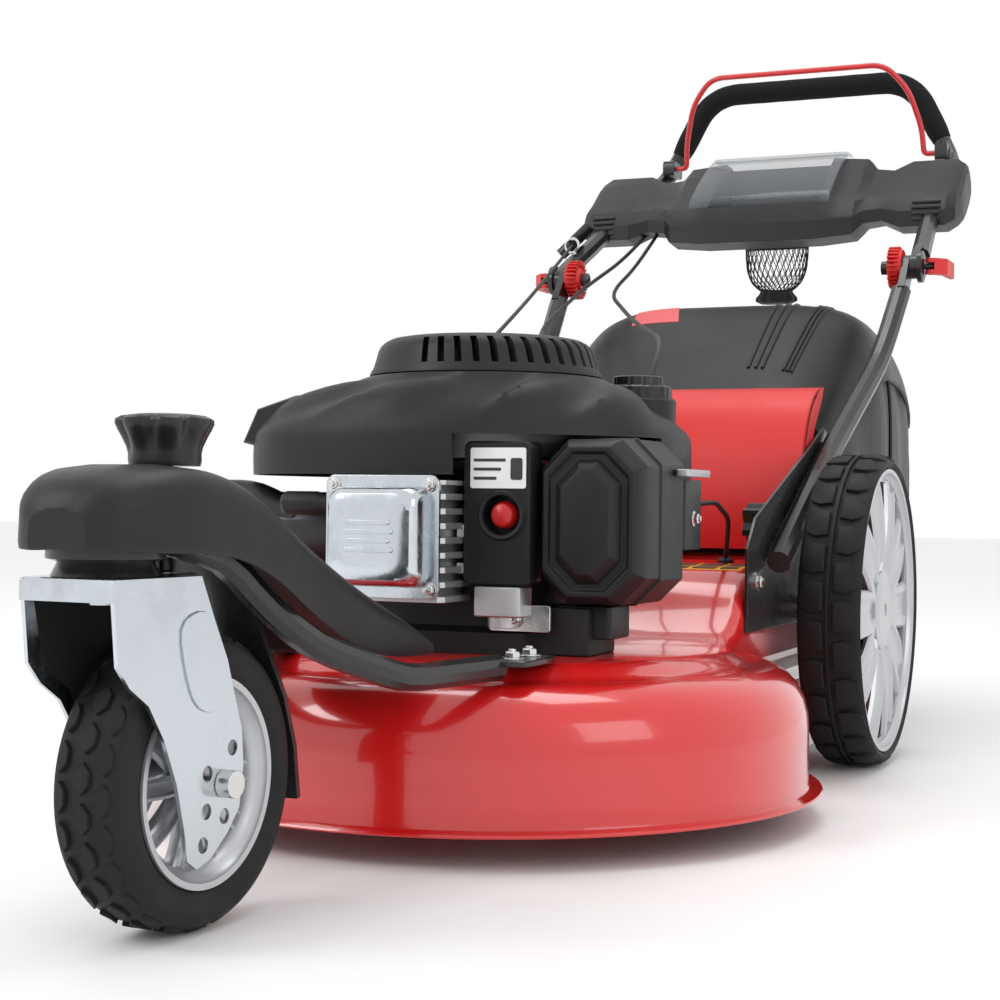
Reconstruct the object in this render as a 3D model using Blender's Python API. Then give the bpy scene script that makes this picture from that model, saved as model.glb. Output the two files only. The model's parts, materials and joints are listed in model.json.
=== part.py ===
"""Three-wheeled petrol lawn mower with a swivel front caster, as separate pieces.

Metres, +Z up, the front faces -Y. Sizes below are measured from the rear axle line on the
ground; the whole machine is moved along Y at the end so that its box is centred on the origin.
"""
import math

import bmesh
import bpy
from mathutils import Matrix, Vector

for _old in list(bpy.data.objects):
    bpy.data.objects.remove(_old, do_unlink=True)

# ---------------------------------------------------------------- driving sizes
GAP = 0.0003                 # clearance between pieces that touch
SHEET = 0.0028               # pressed steel of the deck
PLASTIC = 0.003              # moulded plastic wall

WHEEL_R = 0.165              # rear wheel, 330 mm across
WHEEL_W = 0.0635
WHEEL_OUT = 0.2807           # outer face of a rear wheel from the middle
RIM_R = 0.1484

CASTER_R = 0.0955            # front wheel, 191 mm across
CASTER_W = 0.0546
CASTER_RIM_R = 0.0671
PIVOT_Y = -1.0131            # swivel axis of the caster
TRAIL = 0.073
CASTER_REST = math.radians(-4.4)

DECK_Y = -0.423              # centre of the round front of the deck
DECK_R = 0.286               # skirt
FLANGE = 0.012
DECK_HALF = 0.200            # half width of the deck between the rear wheels
DECK_LOW = 0.025
PLATEAU_Z = 0.148
DECK_REAR = 0.060
HUMP_HALF = 0.185
HUMP_Z = 0.214
CRANK_Y = -0.437
BLADE_HALF = 0.255           # 51 cm cut

TUBE_R = 0.0125
LOW_X = 0.2015               # lower handle tube beside the wheel
CLAMP_X = 0.2330
CLAMP_Y = 0.361
CLAMP_Z = 0.574
LOOP_Y = 0.790
LOOP_Z = 0.9065
LOOP_HALF = 0.150
GRIP_R = 0.016
EXIT_X = 0.2200
EXIT_Z = 0.775

BAG_FRONT = 0.0640
BAG_SPLIT = 0.0016
SHROUD_Z = 0.297
SHROUD_TOP = 0.387
RECOIL_R = 0.101
NOSE_Y = -1.091

SHIFT_Y = -(NOSE_Y + LOOP_Y + GRIP_R) / 2

parts = []


# ---------------------------------------------------------------- materials
def material(name, colour, metal, rough, alpha=1.0):
    m = bpy.data.materials.new(name)
    m.use_nodes = True
    b = m.node_tree.nodes["Principled BSDF"]
    b.inputs["Base Color"].default_value = (*colour, 1.0)
    b.inputs["Metallic"].default_value = metal
    b.inputs["Roughness"].default_value = rough
    b.inputs["Alpha"].default_value = alpha
    return m


RED = material("deck_red", (0.55, 0.012, 0.012), 0.0, 0.25)
RED_PLASTIC = material("red_plastic", (0.56, 0.02, 0.02), 0.0, 0.45)
BLACK_METAL = material("black_metal", (0.012, 0.012, 0.013), 0.3, 0.35)
BLACK_PLASTIC = material("black_plastic", (0.02, 0.021, 0.023), 0.0, 0.5)
ZINC = material("zinc_steel", (0.62, 0.64, 0.66), 1.0, 0.3)
ALU = material("cast_aluminium", (0.45, 0.46, 0.47), 1.0, 0.5)
RIM_MAT = material("silver_rim", (0.6, 0.61, 0.62), 0.6, 0.4)
TYRE_MAT = material("tyre_rubber", (0.015, 0.015, 0.016), 0.0, 0.8)
RUBBER = material("soft_rubber", (0.02, 0.02, 0.02), 0.0, 0.7)
RED_RUBBER = material("primer_rubber", (0.6, 0.02, 0.02), 0.0, 0.4)
CLEAR = material("clear_lid", (0.5, 0.55, 0.6), 0.0, 0.08, 0.35)
FABRIC = material("bag_fabric", (0.03, 0.031, 0.034), 0.0, 0.9)
FOAM = material("foam_grip", (0.015, 0.015, 0.015), 0.0, 0.9)
DARK_STEEL = material("dark_steel", (0.08, 0.08, 0.085), 0.9, 0.45)
YELLOW = material("label_yellow", (0.8, 0.5, 0.03), 0.0, 0.5)


# ---------------------------------------------------------------- mesh tools
def emit(name, verts, faces, mat, origin=(0, 0, 0), crease=35.0):
    """One closed mesh object whose origin sits at the given point."""
    o = Vector(origin)
    me = bpy.data.meshes.new(name)
    me.from_pydata([Vector(v) - o for v in verts], [], faces)
    bm = bmesh.new()
    bm.from_mesh(me)
    bmesh.ops.remove_doubles(bm, verts=bm.verts, dist=0.00002)
    bmesh.ops.recalc_face_normals(bm, faces=bm.faces)
    bm.to_mesh(me)
    bm.free()
    me.materials.append(mat)
    for p in me.polygons:
        p.use_smooth = True
    me.set_sharp_from_angle(angle=math.radians(crease))
    ob = bpy.data.objects.new(name, me)
    ob.location = o
    bpy.context.scene.collection.objects.link(ob)
    parts.append(ob)
    return ob


def discard(ob):
    parts.remove(ob)
    bpy.data.objects.remove(ob, do_unlink=True)


def combine(target, others, operation):
    """Exact Boolean of the target with each other object, baked into its mesh."""
    for other in others:
        bpy.context.view_layer.update()
        mod = target.modifiers.new("b", "BOOLEAN")
        mod.operation = operation
        mod.solver = "EXACT"
        mod.object = other
        deps = bpy.context.evaluated_depsgraph_get()
        me = bpy.data.meshes.new_from_object(target.evaluated_get(deps))
        target.modifiers.clear()
        target.data = me
        discard(other)
    bm = bmesh.new()
    bm.from_mesh(target.data)
    bmesh.ops.remove_doubles(bm, verts=bm.verts, dist=0.00002)
    bmesh.ops.dissolve_limit(bm, angle_limit=0.0005, verts=bm.verts, edges=bm.edges)
    bm.to_mesh(target.data)
    bm.free()
    while len(target.data.materials) > 1:
        target.data.materials.pop()
    for p in target.data.polygons:
        p.use_smooth = True
        p.material_index = 0
    target.data.set_sharp_from_angle(angle=math.radians(35.0))
    return target


def cut(target, others):
    return combine(target, others, "DIFFERENCE")


def join(target, others):
    return combine(target, others, "UNION")


def rings_mesh(rings, closed=False):
    """Faces that run between equal rings of points, with capped ends unless closed."""
    n = len(rings[0])
    verts = [p for r in rings for p in r]
    faces = []
    last = len(rings) if closed else len(rings) - 1
    for i in range(last):
        a = i * n
        b = ((i + 1) % len(rings)) * n
        for k in range(n):
            k2 = (k + 1) % n
            faces.append((a + k, a + k2, b + k2, b + k))
    if not closed:
        faces.append(tuple(range(n - 1, -1, -1)))
        faces.append(tuple(range(len(verts) - n, len(verts))))
    return verts, faces


def loft(name, rings, mat, origin=(0, 0, 0), closed=False, crease=35.0):
    v, f = rings_mesh(rings, closed)
    return emit(name, v, f, mat, origin, crease)


AXES = {"x": ((0, 1, 0), (0, 0, 1), (1, 0, 0)),
        "y": ((0, 0, 1), (1, 0, 0), (0, 1, 0)),
        "z": ((1, 0, 0), (0, 1, 0), (0, 0, 1))}


def place(axis, a, b, h):
    u, v, w = (Vector(c) for c in AXES[axis])
    return u * a + v * b + w * h


def turned(name, profile, mat, axis="z", at=(0, 0, 0), segments=32, origin=None, ring=False, crease=35.0):
    """Turned body: profile of (radius, height). A ring profile is a closed loop."""
    at = Vector(at)
    rings = []
    for r, h in profile:
        r = max(r, 0.0)
        if r == 0.0 and not ring:
            rings.append([at + place(axis, 0, 0, h)])
            continue
        pts = []
        for k in range(segments):
            t = 2 * math.pi * k / segments
            pts.append(at + place(axis, r * math.cos(t), r * math.sin(t), h))
        rings.append(pts)
    verts, faces, starts = [], [], []
    for r in rings:
        starts.append(len(verts))
        verts.extend(r)
    count = len(rings)
    for i in range(count if ring else count - 1):
        j = (i + 1) % count
        a, b = starts[i], starts[j]
        na, nb = len(rings[i]), len(rings[j])
        for k in range(segments):
            k2 = (k + 1) % segments
            if na == 1 and nb == 1:
                continue
            if na == 1:
                faces.append((a, b + k2, b + k))
            elif nb == 1:
                faces.append((a + k, a + k2, b))
            else:
                faces.append((a + k, a + k2, b + k2, b + k))
    if not ring:
        if len(rings[0]) > 1:
            faces.append(tuple(starts[0] + k for k in range(segments - 1, -1, -1)))
        if len(rings[-1]) > 1:
            faces.append(tuple(starts[-1] + k for k in range(segments)))
    return emit(name, verts, faces, mat, origin if origin is not None else at, crease)


def prism(name, outline, lo, hi, mat, axis="x", origin=(0, 0, 0), crease=35.0):
    """Outline in the plane across the axis, run from lo to hi along it."""
    rings = [[place(axis, a, b, h) for a, b in outline] for h in (lo, hi)]
    return loft(name, rings, mat, origin, crease=crease)


def rounded(x0, x1, y0, y1, r, n=3):
    """Rounded rectangle as a list of (a, b)."""
    pts = []
    for cx, cy, t0 in ((x1 - r, y1 - r, 0), (x0 + r, y1 - r, 90), (x0 + r, y0 + r, 180), (x1 - r, y0 + r,
        270)):
        for k in range(n + 1):
            t = math.radians(t0 + 90 * k / n)
            pts.append((cx + r * math.cos(t), cy + r * math.sin(t)))
    return pts


def slab(name, x, y, z, mat, axis="z", r=0.004, soft=0.0015, n=2, origin=(0, 0, 0)):
    """Rounded block between the x, y and z limits with softened ends along the axis."""
    lim = {"x": (y, z, x), "y": (z, x, y), "z": (x, y, z)}[axis]
    (a0, a1), (b0, b1), (h0, h1) = lim
    rings = []
    for h, d in ((h0, soft), (h0 + soft, 0.0), (h1 - soft, 0.0), (h1, soft)):
        o = rounded(a0 + d, a1 - d, b0 + d, b1 - d, max(r - d * 0.5, 0.0006), n)
        rings.append([place(axis, p, q, h) for p, q in o])
    return loft(name, rings, mat, origin)


def box(x, y, z):
    """Plain block used as a cutter or as part of a join."""
    return prism("block", [(x[0], y[0]), (x[1], y[0]), (x[1], y[1]), (x[0], y[1])], z[0], z[1],
                 BLACK_PLASTIC, "z")


def rod(axis, at, r, h0, h1, seg=20):
    return turned("rod", [(r, h0), (r, h1)], BLACK_PLASTIC, axis, at, seg)


def fillet(points, radius, n=3):
    """Path with each inner corner replaced by an arc-like curve."""
    pts = [Vector(p) for p in points]
    out = [pts[0]]
    for a, b, c in zip(pts, pts[1:], pts[2:]):
        d = min(radius, (a - b).length * 0.48, (c - b).length * 0.48)
        p = b + (a - b).normalized() * d
        q = b + (c - b).normalized() * d
        for k in range(n + 1):
            t = k / n
            out.append(p * (1 - t) ** 2 + b * 2 * t * (1 - t) + q * t ** 2)
    out.append(pts[-1])
    return out


def bar_rings(path, radius, sides=12):
    """Rings of points round a path; the radius is a number or one (across, up) pair per point."""
    path = [Vector(p) for p in path]
    rings = []
    up = None
    for i, p in enumerate(path):
        a = path[max(i - 1, 0)]
        b = path[min(i + 1, len(path) - 1)]
        t = (b - a).normalized()
        if up is None:
            up = t.cross(Vector((1, 0, 0)))
            if up.length < 0.2:
                up = t.cross(Vector((0, 1, 0)))
        up = (up - t * up.dot(t)).normalized()
        side = t.cross(up)
        ra, rb = radius[i] if isinstance(radius, list) else (radius, radius)
        ring = []
        for k in range(sides):
            w = 2 * math.pi * k / sides
            ring.append(p + side * (ra * math.cos(w)) + up * (rb * math.sin(w)))
        rings.append(ring)
    return rings


def sweep(name, path, radius, mat, sides=12, origin=(0, 0, 0), crease=50.0):
    """Round bar along a path."""
    return loft(name, bar_rings(path, radius, sides), mat, origin, crease=crease)


def sleeve(name, path, r_out, r_in, mat, sides=12, origin=(0, 0, 0)):
    """Tube-shaped cover along a path, open at both ends."""
    rings = bar_rings(path, r_out, sides) + list(reversed(bar_rings(path, r_in, sides)))
    return loft(name, rings, mat, origin, closed=True, crease=50.0)


def mirrored(ob, name):
    """Copy of a right-hand piece for the left side."""
    me = ob.data.copy()
    me.transform(Matrix.Diagonal((-1, 1, 1, 1)))
    me.flip_normals()
    new = bpy.data.objects.new(name, me)
    new.location = Vector((-ob.location.x, ob.location.y, ob.location.z))
    bpy.context.scene.collection.objects.link(new)
    parts.append(new)
    return new


def named(ob, name):
    ob.name = name
    ob.data.name = name
    return ob


# ---------------------------------------------------------------- deck
def deck_outline(inset, arc=28):
    """Plan of the deck: round front, straight sides back to the rear wall."""
    r = DECK_R - inset
    half = DECK_HALF - inset
    rear = DECK_REAR - inset
    join_angle = math.acos(min(half / r, 1.0))
    pts = []
    for k in range(arc + 1):
        t = join_angle - (math.pi + 2 * join_angle) * k / arc
        pts.append((r * math.cos(t), DECK_Y + r * math.sin(t)))
    c = 0.02
    for sx, order in ((-1, (90, 45, 0)), (1, (0, 45, 90))):
        for deg in order:
            t = math.radians(deg)
            ax = half - c + c * math.sin(t)
            ay = rear - c + c * math.cos(t)
            pts.append((sx * ax, ay))
    return pts


SHOULDER = [(0.0, 0.088), (0.0035, 0.109), (0.013, 0.1245), (0.034, 0.135), (0.050, 0.1345), (0.068,
    0.1445), (0.080, PLATEAU_Z)]


def deck_body(name, steps, thick):
    rings = [[Vector((x, y, z)) for x, y in deck_outline(i)] for i, z in steps]
    return loft(name, rings, RED, crease=30.0)


def hump(extra, low):
    """Raised tunnel that leads the clippings up to the rear opening."""
    outline = [(-0.310, low), (-0.310, 0.140), (-0.285, 0.1485), (-0.262, 0.160), (-0.228, 0.193),
               (-0.205, 0.206),
               (-0.180, 0.211), (DECK_REAR, HUMP_Z + 0.006), (DECK_REAR, low)]
    mid_y, mid_z = -0.1, 0.16
    rings = []
    for x, d in ((-HUMP_HALF, 0.011), (-HUMP_HALF + 0.004, 0.004), (-HUMP_HALF + 0.012, 0.0),
                 (HUMP_HALF - 0.012, 0.0), (HUMP_HALF - 0.004, 0.004), (HUMP_HALF, 0.011)):
        ring = []
        for y, z in outline:
            z2 = z - (d + extra if z > 0.13 else 0.0)
            y2 = y + (d + extra if y < -0.2 else (-extra * 0.0))
            ring.append(Vector((x - math.copysign(extra, x), y2, z2)))
        rings.append(ring)
    return loft("hump", rings, RED)


outer_steps = [(-FLANGE, DECK_LOW), (-FLANGE, DECK_LOW + SHEET), (-0.001, DECK_LOW + SHEET + 0.0004),
               (0.0, DECK_LOW + 0.006)] + SHOULDER
deck = deck_body("deck", outer_steps, 0)
inner_steps = [(SHEET, DECK_LOW - 0.01)] + [(i + SHEET * (1.0 if z < 0.12 else 0.45),
                                             z - SHEET * (0.0 if i < 0.002 else 0.95))
                                             for i, z in SHOULDER]
inner = deck_body("inner", inner_steps, 0)
outer_hump = hump(0.0, 0.120)
inner_hump = hump(SHEET, 0.060)
join(deck, [outer_hump])
join(inner, [inner_hump])
cut(deck, [inner])
cut(deck, [box((-0.160, 0.160), (DECK_REAR - 0.03, DECK_REAR + 0.02), (0.060, 0.196)),
           rod("z", (0, CRANK_Y, 0), 0.036, 0.12, 0.17, 24)])

# ---------------------------------------------------------------- handle brackets, axles
BR_X = HUMP_HALF + GAP
BR_T = 0.003
bracket = prism("handle_bracket_right",
                [(-0.235, 0.1512), (0.050, 0.1512), (0.056, 0.250), (0.105, 0.325), (0.112, 0.352),
                 (0.085, 0.362),
                 (-0.020, 0.325), (-0.205, 0.262), (-0.235, 0.232)], BR_X, BR_X + BR_T, BLACK_METAL, "x")
KNOB_Y, KNOB_Z = -0.122, 0.2565
cut(bracket, [rod("x", (0, KNOB_Y, KNOB_Z), 0.0045, 0.17, 0.20, 16), rod("x", (0, 0, WHEEL_R), 0.0066,
    0.17, 0.20, 16)])
for z in (0.190, 0.208):
    cut(bracket, [rod("x", (0, 0.0, z), 0.0066, 0.17, 0.20, 12)])

axle = turned("axle_stub_right",
              [(0, BR_X + GAP), (0.0062, BR_X + GAP), (0.0062, BR_X + BR_T + GAP), (0.0135,
                  BR_X + BR_T + GAP),
               (0.0135, 0.2160), (0.0062, 0.2163), (0.0062, 0.2655), (0.0095, 0.2655), (0.0095, 0.2725),
               (0.0070, 0.2740),
               (0, 0.2740)], ZINC, "x", (0, 0, WHEEL_R), 18)

# ---------------------------------------------------------------- wheels


def tyre(name, x_mid, width, radius, bead, at, seg):
    w = width / 2
    shoulder = radius * 0.10
    prof = [(bead, -w * 0.80), (bead + (radius - bead) * 0.35, -w), (radius - shoulder * 0.55, -w * 0.97),
            (radius, -w * 0.55), (radius, w * 0.55), (radius - shoulder * 0.55, w * 0.97),
            (bead + (radius - bead) * 0.35, w), (bead, w * 0.80)]
    return turned(name, [(r, h + x_mid) for r, h in prof], TYRE_MAT, "x", at, seg, ring=True, crease=50.0)


def rim(name, x_mid, width, bead, at, bore, hub_r, holes, seg, face):
    """Spoked wheel centre: barrel, dished web with openings and a long hub."""
    w = width / 2
    b = bead - GAP
    prof = [(b, -w * 0.86), (b, w * 0.86), (b - 0.006, w * 0.84), (b - 0.011, face + 0.006),
            (hub_r, face + 0.004), (bore, face + 0.006), (bore, -w * 0.9),
            (hub_r, -w * 0.9), (hub_r + 0.002, face - 0.008), (b - 0.011, face - 0.006), (b - 0.006,
                -w * 0.84)]
    ob = turned(name, [(r, h + x_mid) for r, h in prof], RIM_MAT, "x", at, seg, ring=True, crease=30.0)
    r0, r1 = hub_r + 0.010, b - 0.016
    half = math.pi / holes
    for k in range(holes):
        t = 2 * half * (k + 0.5)
        a0 = half * 0.45
        a1 = half * 0.66
        outline = [(r0 * math.cos(t - a0), r0 * math.sin(t - a0)), (r1 * math.cos(t - a1),
            r1 * math.sin(t - a1)),
                   (r1 * 1.03 * math.cos(t), r1 * 1.03 * math.sin(t)), (r1 * math.cos(t + a1),
                       r1 * math.sin(t + a1)),
                   (r0 * math.cos(t + a0), r0 * math.sin(t + a0))]
        pts = [(at[1] + p, at[2] + q) for p, q in outline]
        cut(ob, [prism("hole", pts, at[0] + x_mid - 0.03, at[0] + x_mid + 0.035, BLACK_PLASTIC, "x")])
    return ob


WHEEL_MID = WHEEL_OUT - WHEEL_W / 2
rear_at = (0, 0, WHEEL_R)
wheel_parts = []
wheel_parts.append(tyre("rear_tyre_right", WHEEL_MID, WHEEL_W, WHEEL_R, RIM_R - 0.006, rear_at, 32))
wheel_parts.append(rim("rear_rim_right", WHEEL_MID, WHEEL_W, RIM_R - 0.006, rear_at, 0.0065, 0.017, 10,
                       32, 0.006))

# ---------------------------------------------------------------- front frame and caster
HEAD_Z0, HEAD_Z1 = 0.2385, 0.262
fork_z = 0.2271
frame_path = fillet([(0.024, PIVOT_Y + 0.028, 0.2500), (0.030, -0.932, 0.2400), (0.036, -0.885, 0.2050),
                     (0.050, -0.845, 0.1760),
                     (0.079, -0.765, 0.1478), (0.094, -0.695, 0.1478), (0.1035, -0.650, 0.1478)], 0.02, 2)
tube = sweep("front_frame", frame_path, 0.0105, BLACK_METAL, 10)
left = mirrored(tube, "frame_left")
head = turned("head", [(0.0330, fork_z + 0.0009), (0.0300, fork_z + 0.0070), (0.0290, HEAD_Z0 - 0.002),
                       (0.036, HEAD_Z0), (0.036, HEAD_Z1)],
              BLACK_METAL, "z", (0, PIVOT_Y, 0), 22)
tab_r = slab("tab", (0.0930, 0.131), (-0.658, -0.588), (0.1490, 0.1540), BLACK_METAL, "z", 0.010, 0.0008)
tab_l = slab("tab", (-0.131, -0.0930), (-0.658, -0.588), (0.1490, 0.1540), BLACK_METAL, "z", 0.010, 0.0008)
guard_line = [(-0.9180, 0.2425), (-0.905, 0.2180), (-0.876, 0.181), (-0.848, 0.140), (-0.834, 0.105),
              (-0.828, 0.068)]
guard_out = [(y, z) for y, z in guard_line]
guard_in = [(y + 0.0045, z + 0.001) for y, z in reversed(guard_line)]
guard = prism("guard", guard_out + guard_in, -0.030, 0.030, BLACK_METAL, "x")
brace = box((-0.046, 0.046), (-0.960, -0.912), (0.2400, 0.2560))
join(tube, [left, head, brace, guard, tab_r, tab_l])
cut(tube, [rod("z", (0, PIVOT_Y, 0), 0.0065, 0.2, 0.3, 16), rod("z", (0, -0.9505, 0), 0.0056, 0.2, 0.3,
    14)])

cover_line = [  # y, top, underside, half width
    (NOSE_Y, 0.270, 0.252, 0.016), (-1.082, 0.282, 0.2475, 0.034), (-1.062, 0.290, 0.2445, 0.049),
    (-1.030, 0.2945, 0.2425, 0.060),
    (-0.990, 0.2945, 0.2415, 0.0640), (-0.950, 0.2875, 0.2365, 0.0610), (-0.905, 0.271, 0.2225, 0.0570),
    (-0.855, 0.2490, 0.1990, 0.0560),
    (-0.800, 0.2260, 0.1760, 0.0570), (-0.745, 0.2030, 0.1620, 0.0590), (-0.700, 0.1830, 0.1590, 0.0600),
    (-0.672, 0.1680, 0.1585, 0.0600)]


def cover_section(y, top, low, half):
    """Inverted trough: outside over the top, then back along the inside."""
    t = PLASTIC
    drop = (top - low)
    ch = min(drop * 0.35, 0.016)
    out = [(-half, low), (-half + 0.001, top - ch), (-half + ch * 0.9, top - 0.003), (-half * 0.3, top),
           (half * 0.3, top),
           (half - ch * 0.9, top - 0.003), (half - 0.001, top - ch), (half, low)]
    inn = [(half - t, low), (half - t - 0.001, top - ch - t * 0.4), (half - ch * 0.9 - t * 0.4,
        top - 0.003 - t), (half * 0.3, top - t),
           (-half * 0.3, top - t), (-half + ch * 0.9 + t * 0.4, top - 0.003 - t), (-half + t + 0.001,
               top - ch - t * 0.4), (-half + t, low)]
    return [Vector((x, y, z)) for x, z in out + inn]


cover = loft("frame_cover", [cover_section(*c) for c in cover_line], BLACK_PLASTIC, crease=32.0)
cut(cover, [rod("z", (0, -0.9505, 0), 0.0062, 0.25, 0.32, 14)])

rot = Matrix.Translation((0, PIVOT_Y, 0)) @ Matrix.Rotation(CASTER_REST, 4, "Z") @ Matrix.Translation((0,
    -PIVOT_Y, 0))
wheel_y = PIVOT_Y + TRAIL


def caster_piece(ob, origin):
    """Turn a piece that was built straight ahead to the resting swivel angle."""
    me = ob.data
    me.transform(rot @ Matrix.Translation(ob.location))
    o = rot @ Vector(origin)
    me.transform(Matrix.Translation(-o))
    ob.location = o
    return ob


FORK_CLEAR = 0.0078           # from the tyre's side to the outside of a fork leg
HW = CASTER_W / 2 + FORK_CLEAR
FT = 0.0027
plate = slab("caster_fork", (-HW, HW), (PIVOT_Y - 0.0365, PIVOT_Y + 0.0472), (fork_z - FT,
    fork_z + FT * 0.2), ZINC, "z", 0.004, 0.0006)
tongue = slab("t", (-0.013, 0.013), (PIVOT_Y + 0.040, PIVOT_Y + 0.0760), (fork_z - FT, fork_z + FT * 0.2),
              ZINC, "z", 0.004, 0.0006)
front_lip = box((-HW, HW), (PIVOT_Y - 0.0365, PIVOT_Y - 0.0340), (fork_z - 0.0135, fork_z - 0.001))
leg = [(-1.0495, fork_z), (-1.0480, 0.214), (-1.0440, 0.176), (-1.0330, 0.163), (-1.0150, 0.151),
       (-1.0000, 0.129), (-0.9870, 0.100),
       (-0.9790, 0.070), (-0.9760, 0.052), (-0.9660, 0.0455), (-0.9520, 0.0500), (-0.9340, 0.0640),
       (-0.9220, 0.0780), (-0.9180, 0.105),
       (-0.9200, 0.128), (-0.9270, 0.147), (-0.9360, 0.173), (-0.9500, 0.199), (-0.9640, fork_z)]
leg_r = prism("leg", leg, HW - FT, HW, ZINC, "x")
leg_l = prism("leg", leg, -HW, -HW + FT, ZINC, "x")
join(plate, [tongue, front_lip, leg_r, leg_l])
holes = [(-0.9300, 0.1170), (-0.9560, 0.1035), (-0.9570, 0.0800), (-0.9380, 0.0745), (-0.9600, 0.0595)]
cut(plate, [rod("x", (0, y, z), 0.0052, -0.06, 0.06, 12) for y, z in holes])
cut(plate, [rod("x", (0, wheel_y, CASTER_R), 0.0054, -0.06, 0.06, 14)])
cut(plate, [rod("z", (0, PIVOT_Y, 0), 0.0085, 0.2, 0.26, 18), rod("z", (0, -0.9505, 0), 0.0062, 0.2, 0.26,
    14)])
fork = caster_piece(plate, (0, PIVOT_Y, fork_z))

kingpin = turned("kingpin", [(0, 0.2105), (0.0120, 0.2105), (0.0120, 0.2160), (0.0058, 0.2160),
                             (0.0058, 0.2620 + GAP), (0.0105, 0.2620 + GAP),
                             (0.0105, 0.2690), (0.0, 0.2690)], ZINC, "z", (0, PIVOT_Y, 0), 18)
washer = turned("w", [(0.0055, 0.2160), (0.0180, 0.2160), (0.0180, fork_z - FT - GAP),
                      (0.0055, fork_z - FT - GAP)], ZINC, "z",
                (0, PIVOT_Y, 0), 18, ring=True)
join(kingpin, [washer])

caster_at = (0, wheel_y, CASTER_R)
c_tyre = tyre("caster_tyre", 0.0, CASTER_W, CASTER_R, CASTER_RIM_R - 0.004, caster_at, 32)
c_rim = rim("caster_rim", 0.0, CASTER_W, CASTER_RIM_R - 0.004, caster_at, 0.0056, 0.013, 10, 32, 0.012)
c_axle = turned("caster_axle", [(0, -HW - 0.0072), (0.0082, -HW - 0.0072), (0.0082, -HW - GAP),
                                (0.0050, -HW - GAP), (0.0050, HW + GAP),
                                (0.0090, HW + GAP), (0.0090, HW + 0.0110), (0.0, HW + 0.0110)], ZINC, "x",
                                caster_at, 16)
for piece in (c_tyre, c_rim, c_axle):
    caster_piece(piece, caster_at)

lock = turned("caster_lock_knob",
              [(0, 0.2295), (0.0050, 0.2295), (0.0050, 0.2950), (0.0235, 0.2950), (0.0225, 0.3005),
               (0.0245, 0.3080), (0.0300, 0.3190),
               (0.0322, 0.3235), (0.0300, 0.3262), (0.0180, 0.3285), (0, 0.3290)], BLACK_PLASTIC, "z", (0,
                   -0.9505, 0), 24)

# ---------------------------------------------------------------- engine


def layer(x0, x1, y0, y1, r, z):
    return [Vector((x, y, z)) for x, y in rounded(x0, x1, y0, y1, r, 2)]


crankcase = loft("crankcase", [layer(-0.135, 0.090, -0.548, -0.320, 0.030, PLATEAU_Z + GAP),
                               layer(-0.135, 0.090, -0.548, -0.320, 0.030, 0.166),
                               layer(-0.112, 0.088, -0.530, -0.338, 0.026, 0.170), layer(-0.110, 0.088,
                                   -0.530, -0.338, 0.026, 0.290),
                               layer(-0.095, 0.075, -0.515, -0.352, 0.026, 0.303)], BLACK_METAL)
foot = slab("foot", (0.080, 0.1340), (-0.5300, -0.4600), (PLATEAU_Z + GAP, 0.1880), BLACK_METAL, "z",
            0.005, 0.001)
join(crankcase, [foot])
cut(crankcase, [rod("z", (0, CRANK_Y, 0), 0.0135, 0.1, 0.35, 20),
                rod("x", (0, -0.385, 0.225), 0.0085, -0.13, -0.095, 14)])

def fin_layer(inset, z):
    return [Vector((x, y, z)) for x, y in rounded(-0.076 + inset, 0.031 - inset, -0.5935, -0.5303, 0.005,
        1)]


fin_rings = []
z = 0.192
while z < 0.285:
    for dz, inset in ((0.0, 0.0), (0.0050, 0.0), (0.0050, 0.009), (0.0120, 0.009)):
        fin_rings.append(fin_layer(inset, z + dz))
    z += 0.0120
fin_rings.append(fin_layer(0.0, z))
fin_rings.append(fin_layer(0.0, z + 0.004))
head_block = loft("cylinder_head", fin_rings, ALU)

VX0, VX1, VZ0, VZ1 = -0.074, 0.029, 0.1950, 0.2960


def vring(inset, y, r):
    return [Vector((x, y, zz)) for zz, x in rounded(VZ0 + inset, VZ1 - inset, VX0 + inset, VX1 - inset, r,
        3)]


valve_cover = loft("valve_cover", [vring(0.0, -0.5940, 0.010), vring(0.0, -0.5975, 0.010),
                                   vring(0.0085, -0.5978, 0.012), vring(0.0100, -0.6150, 0.014),
                                   vring(0.0130, -0.6205, 0.014), vring(0.0170, -0.6220, 0.013)], ZINC)

SHROUD_PLAN = [(-0.216, -0.470), (-0.175, -0.548), (-0.085, -0.582), (0.005, -0.582), (0.060, -0.560),
               (0.120, -0.520), (0.160, -0.470),
               (0.172, -0.390), (0.155, -0.300), (0.080, -0.262), (-0.070, -0.262), (-0.165, -0.300),
               (-0.210, -0.385)]


def smooth_plan(points, rounds=1):
    pts = list(points)
    for _ in range(rounds):
        new = []
        for a, b in zip(pts, pts[1:] + pts[:1]):
            new.append((a[0] * 0.75 + b[0] * 0.25, a[1] * 0.75 + b[1] * 0.25))
            new.append((a[0] * 0.25 + b[0] * 0.75, a[1] * 0.25 + b[1] * 0.75))
        pts = new
    return pts


PLAN = smooth_plan(SHROUD_PLAN)


def shroud_ring(t, z, thick, circle=0.106):
    """Ring of the engine hood: t runs from the hood's outline to the circle on top."""
    out = []
    for x, y in PLAN:
        dx, dy = x, y - CRANK_Y
        d = math.hypot(dx, dy)
        r = (d * (1 - t) + circle * t) - thick
        out.append(Vector((dx / d * r, CRANK_Y + dy / d * r, z)))
    return out


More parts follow.
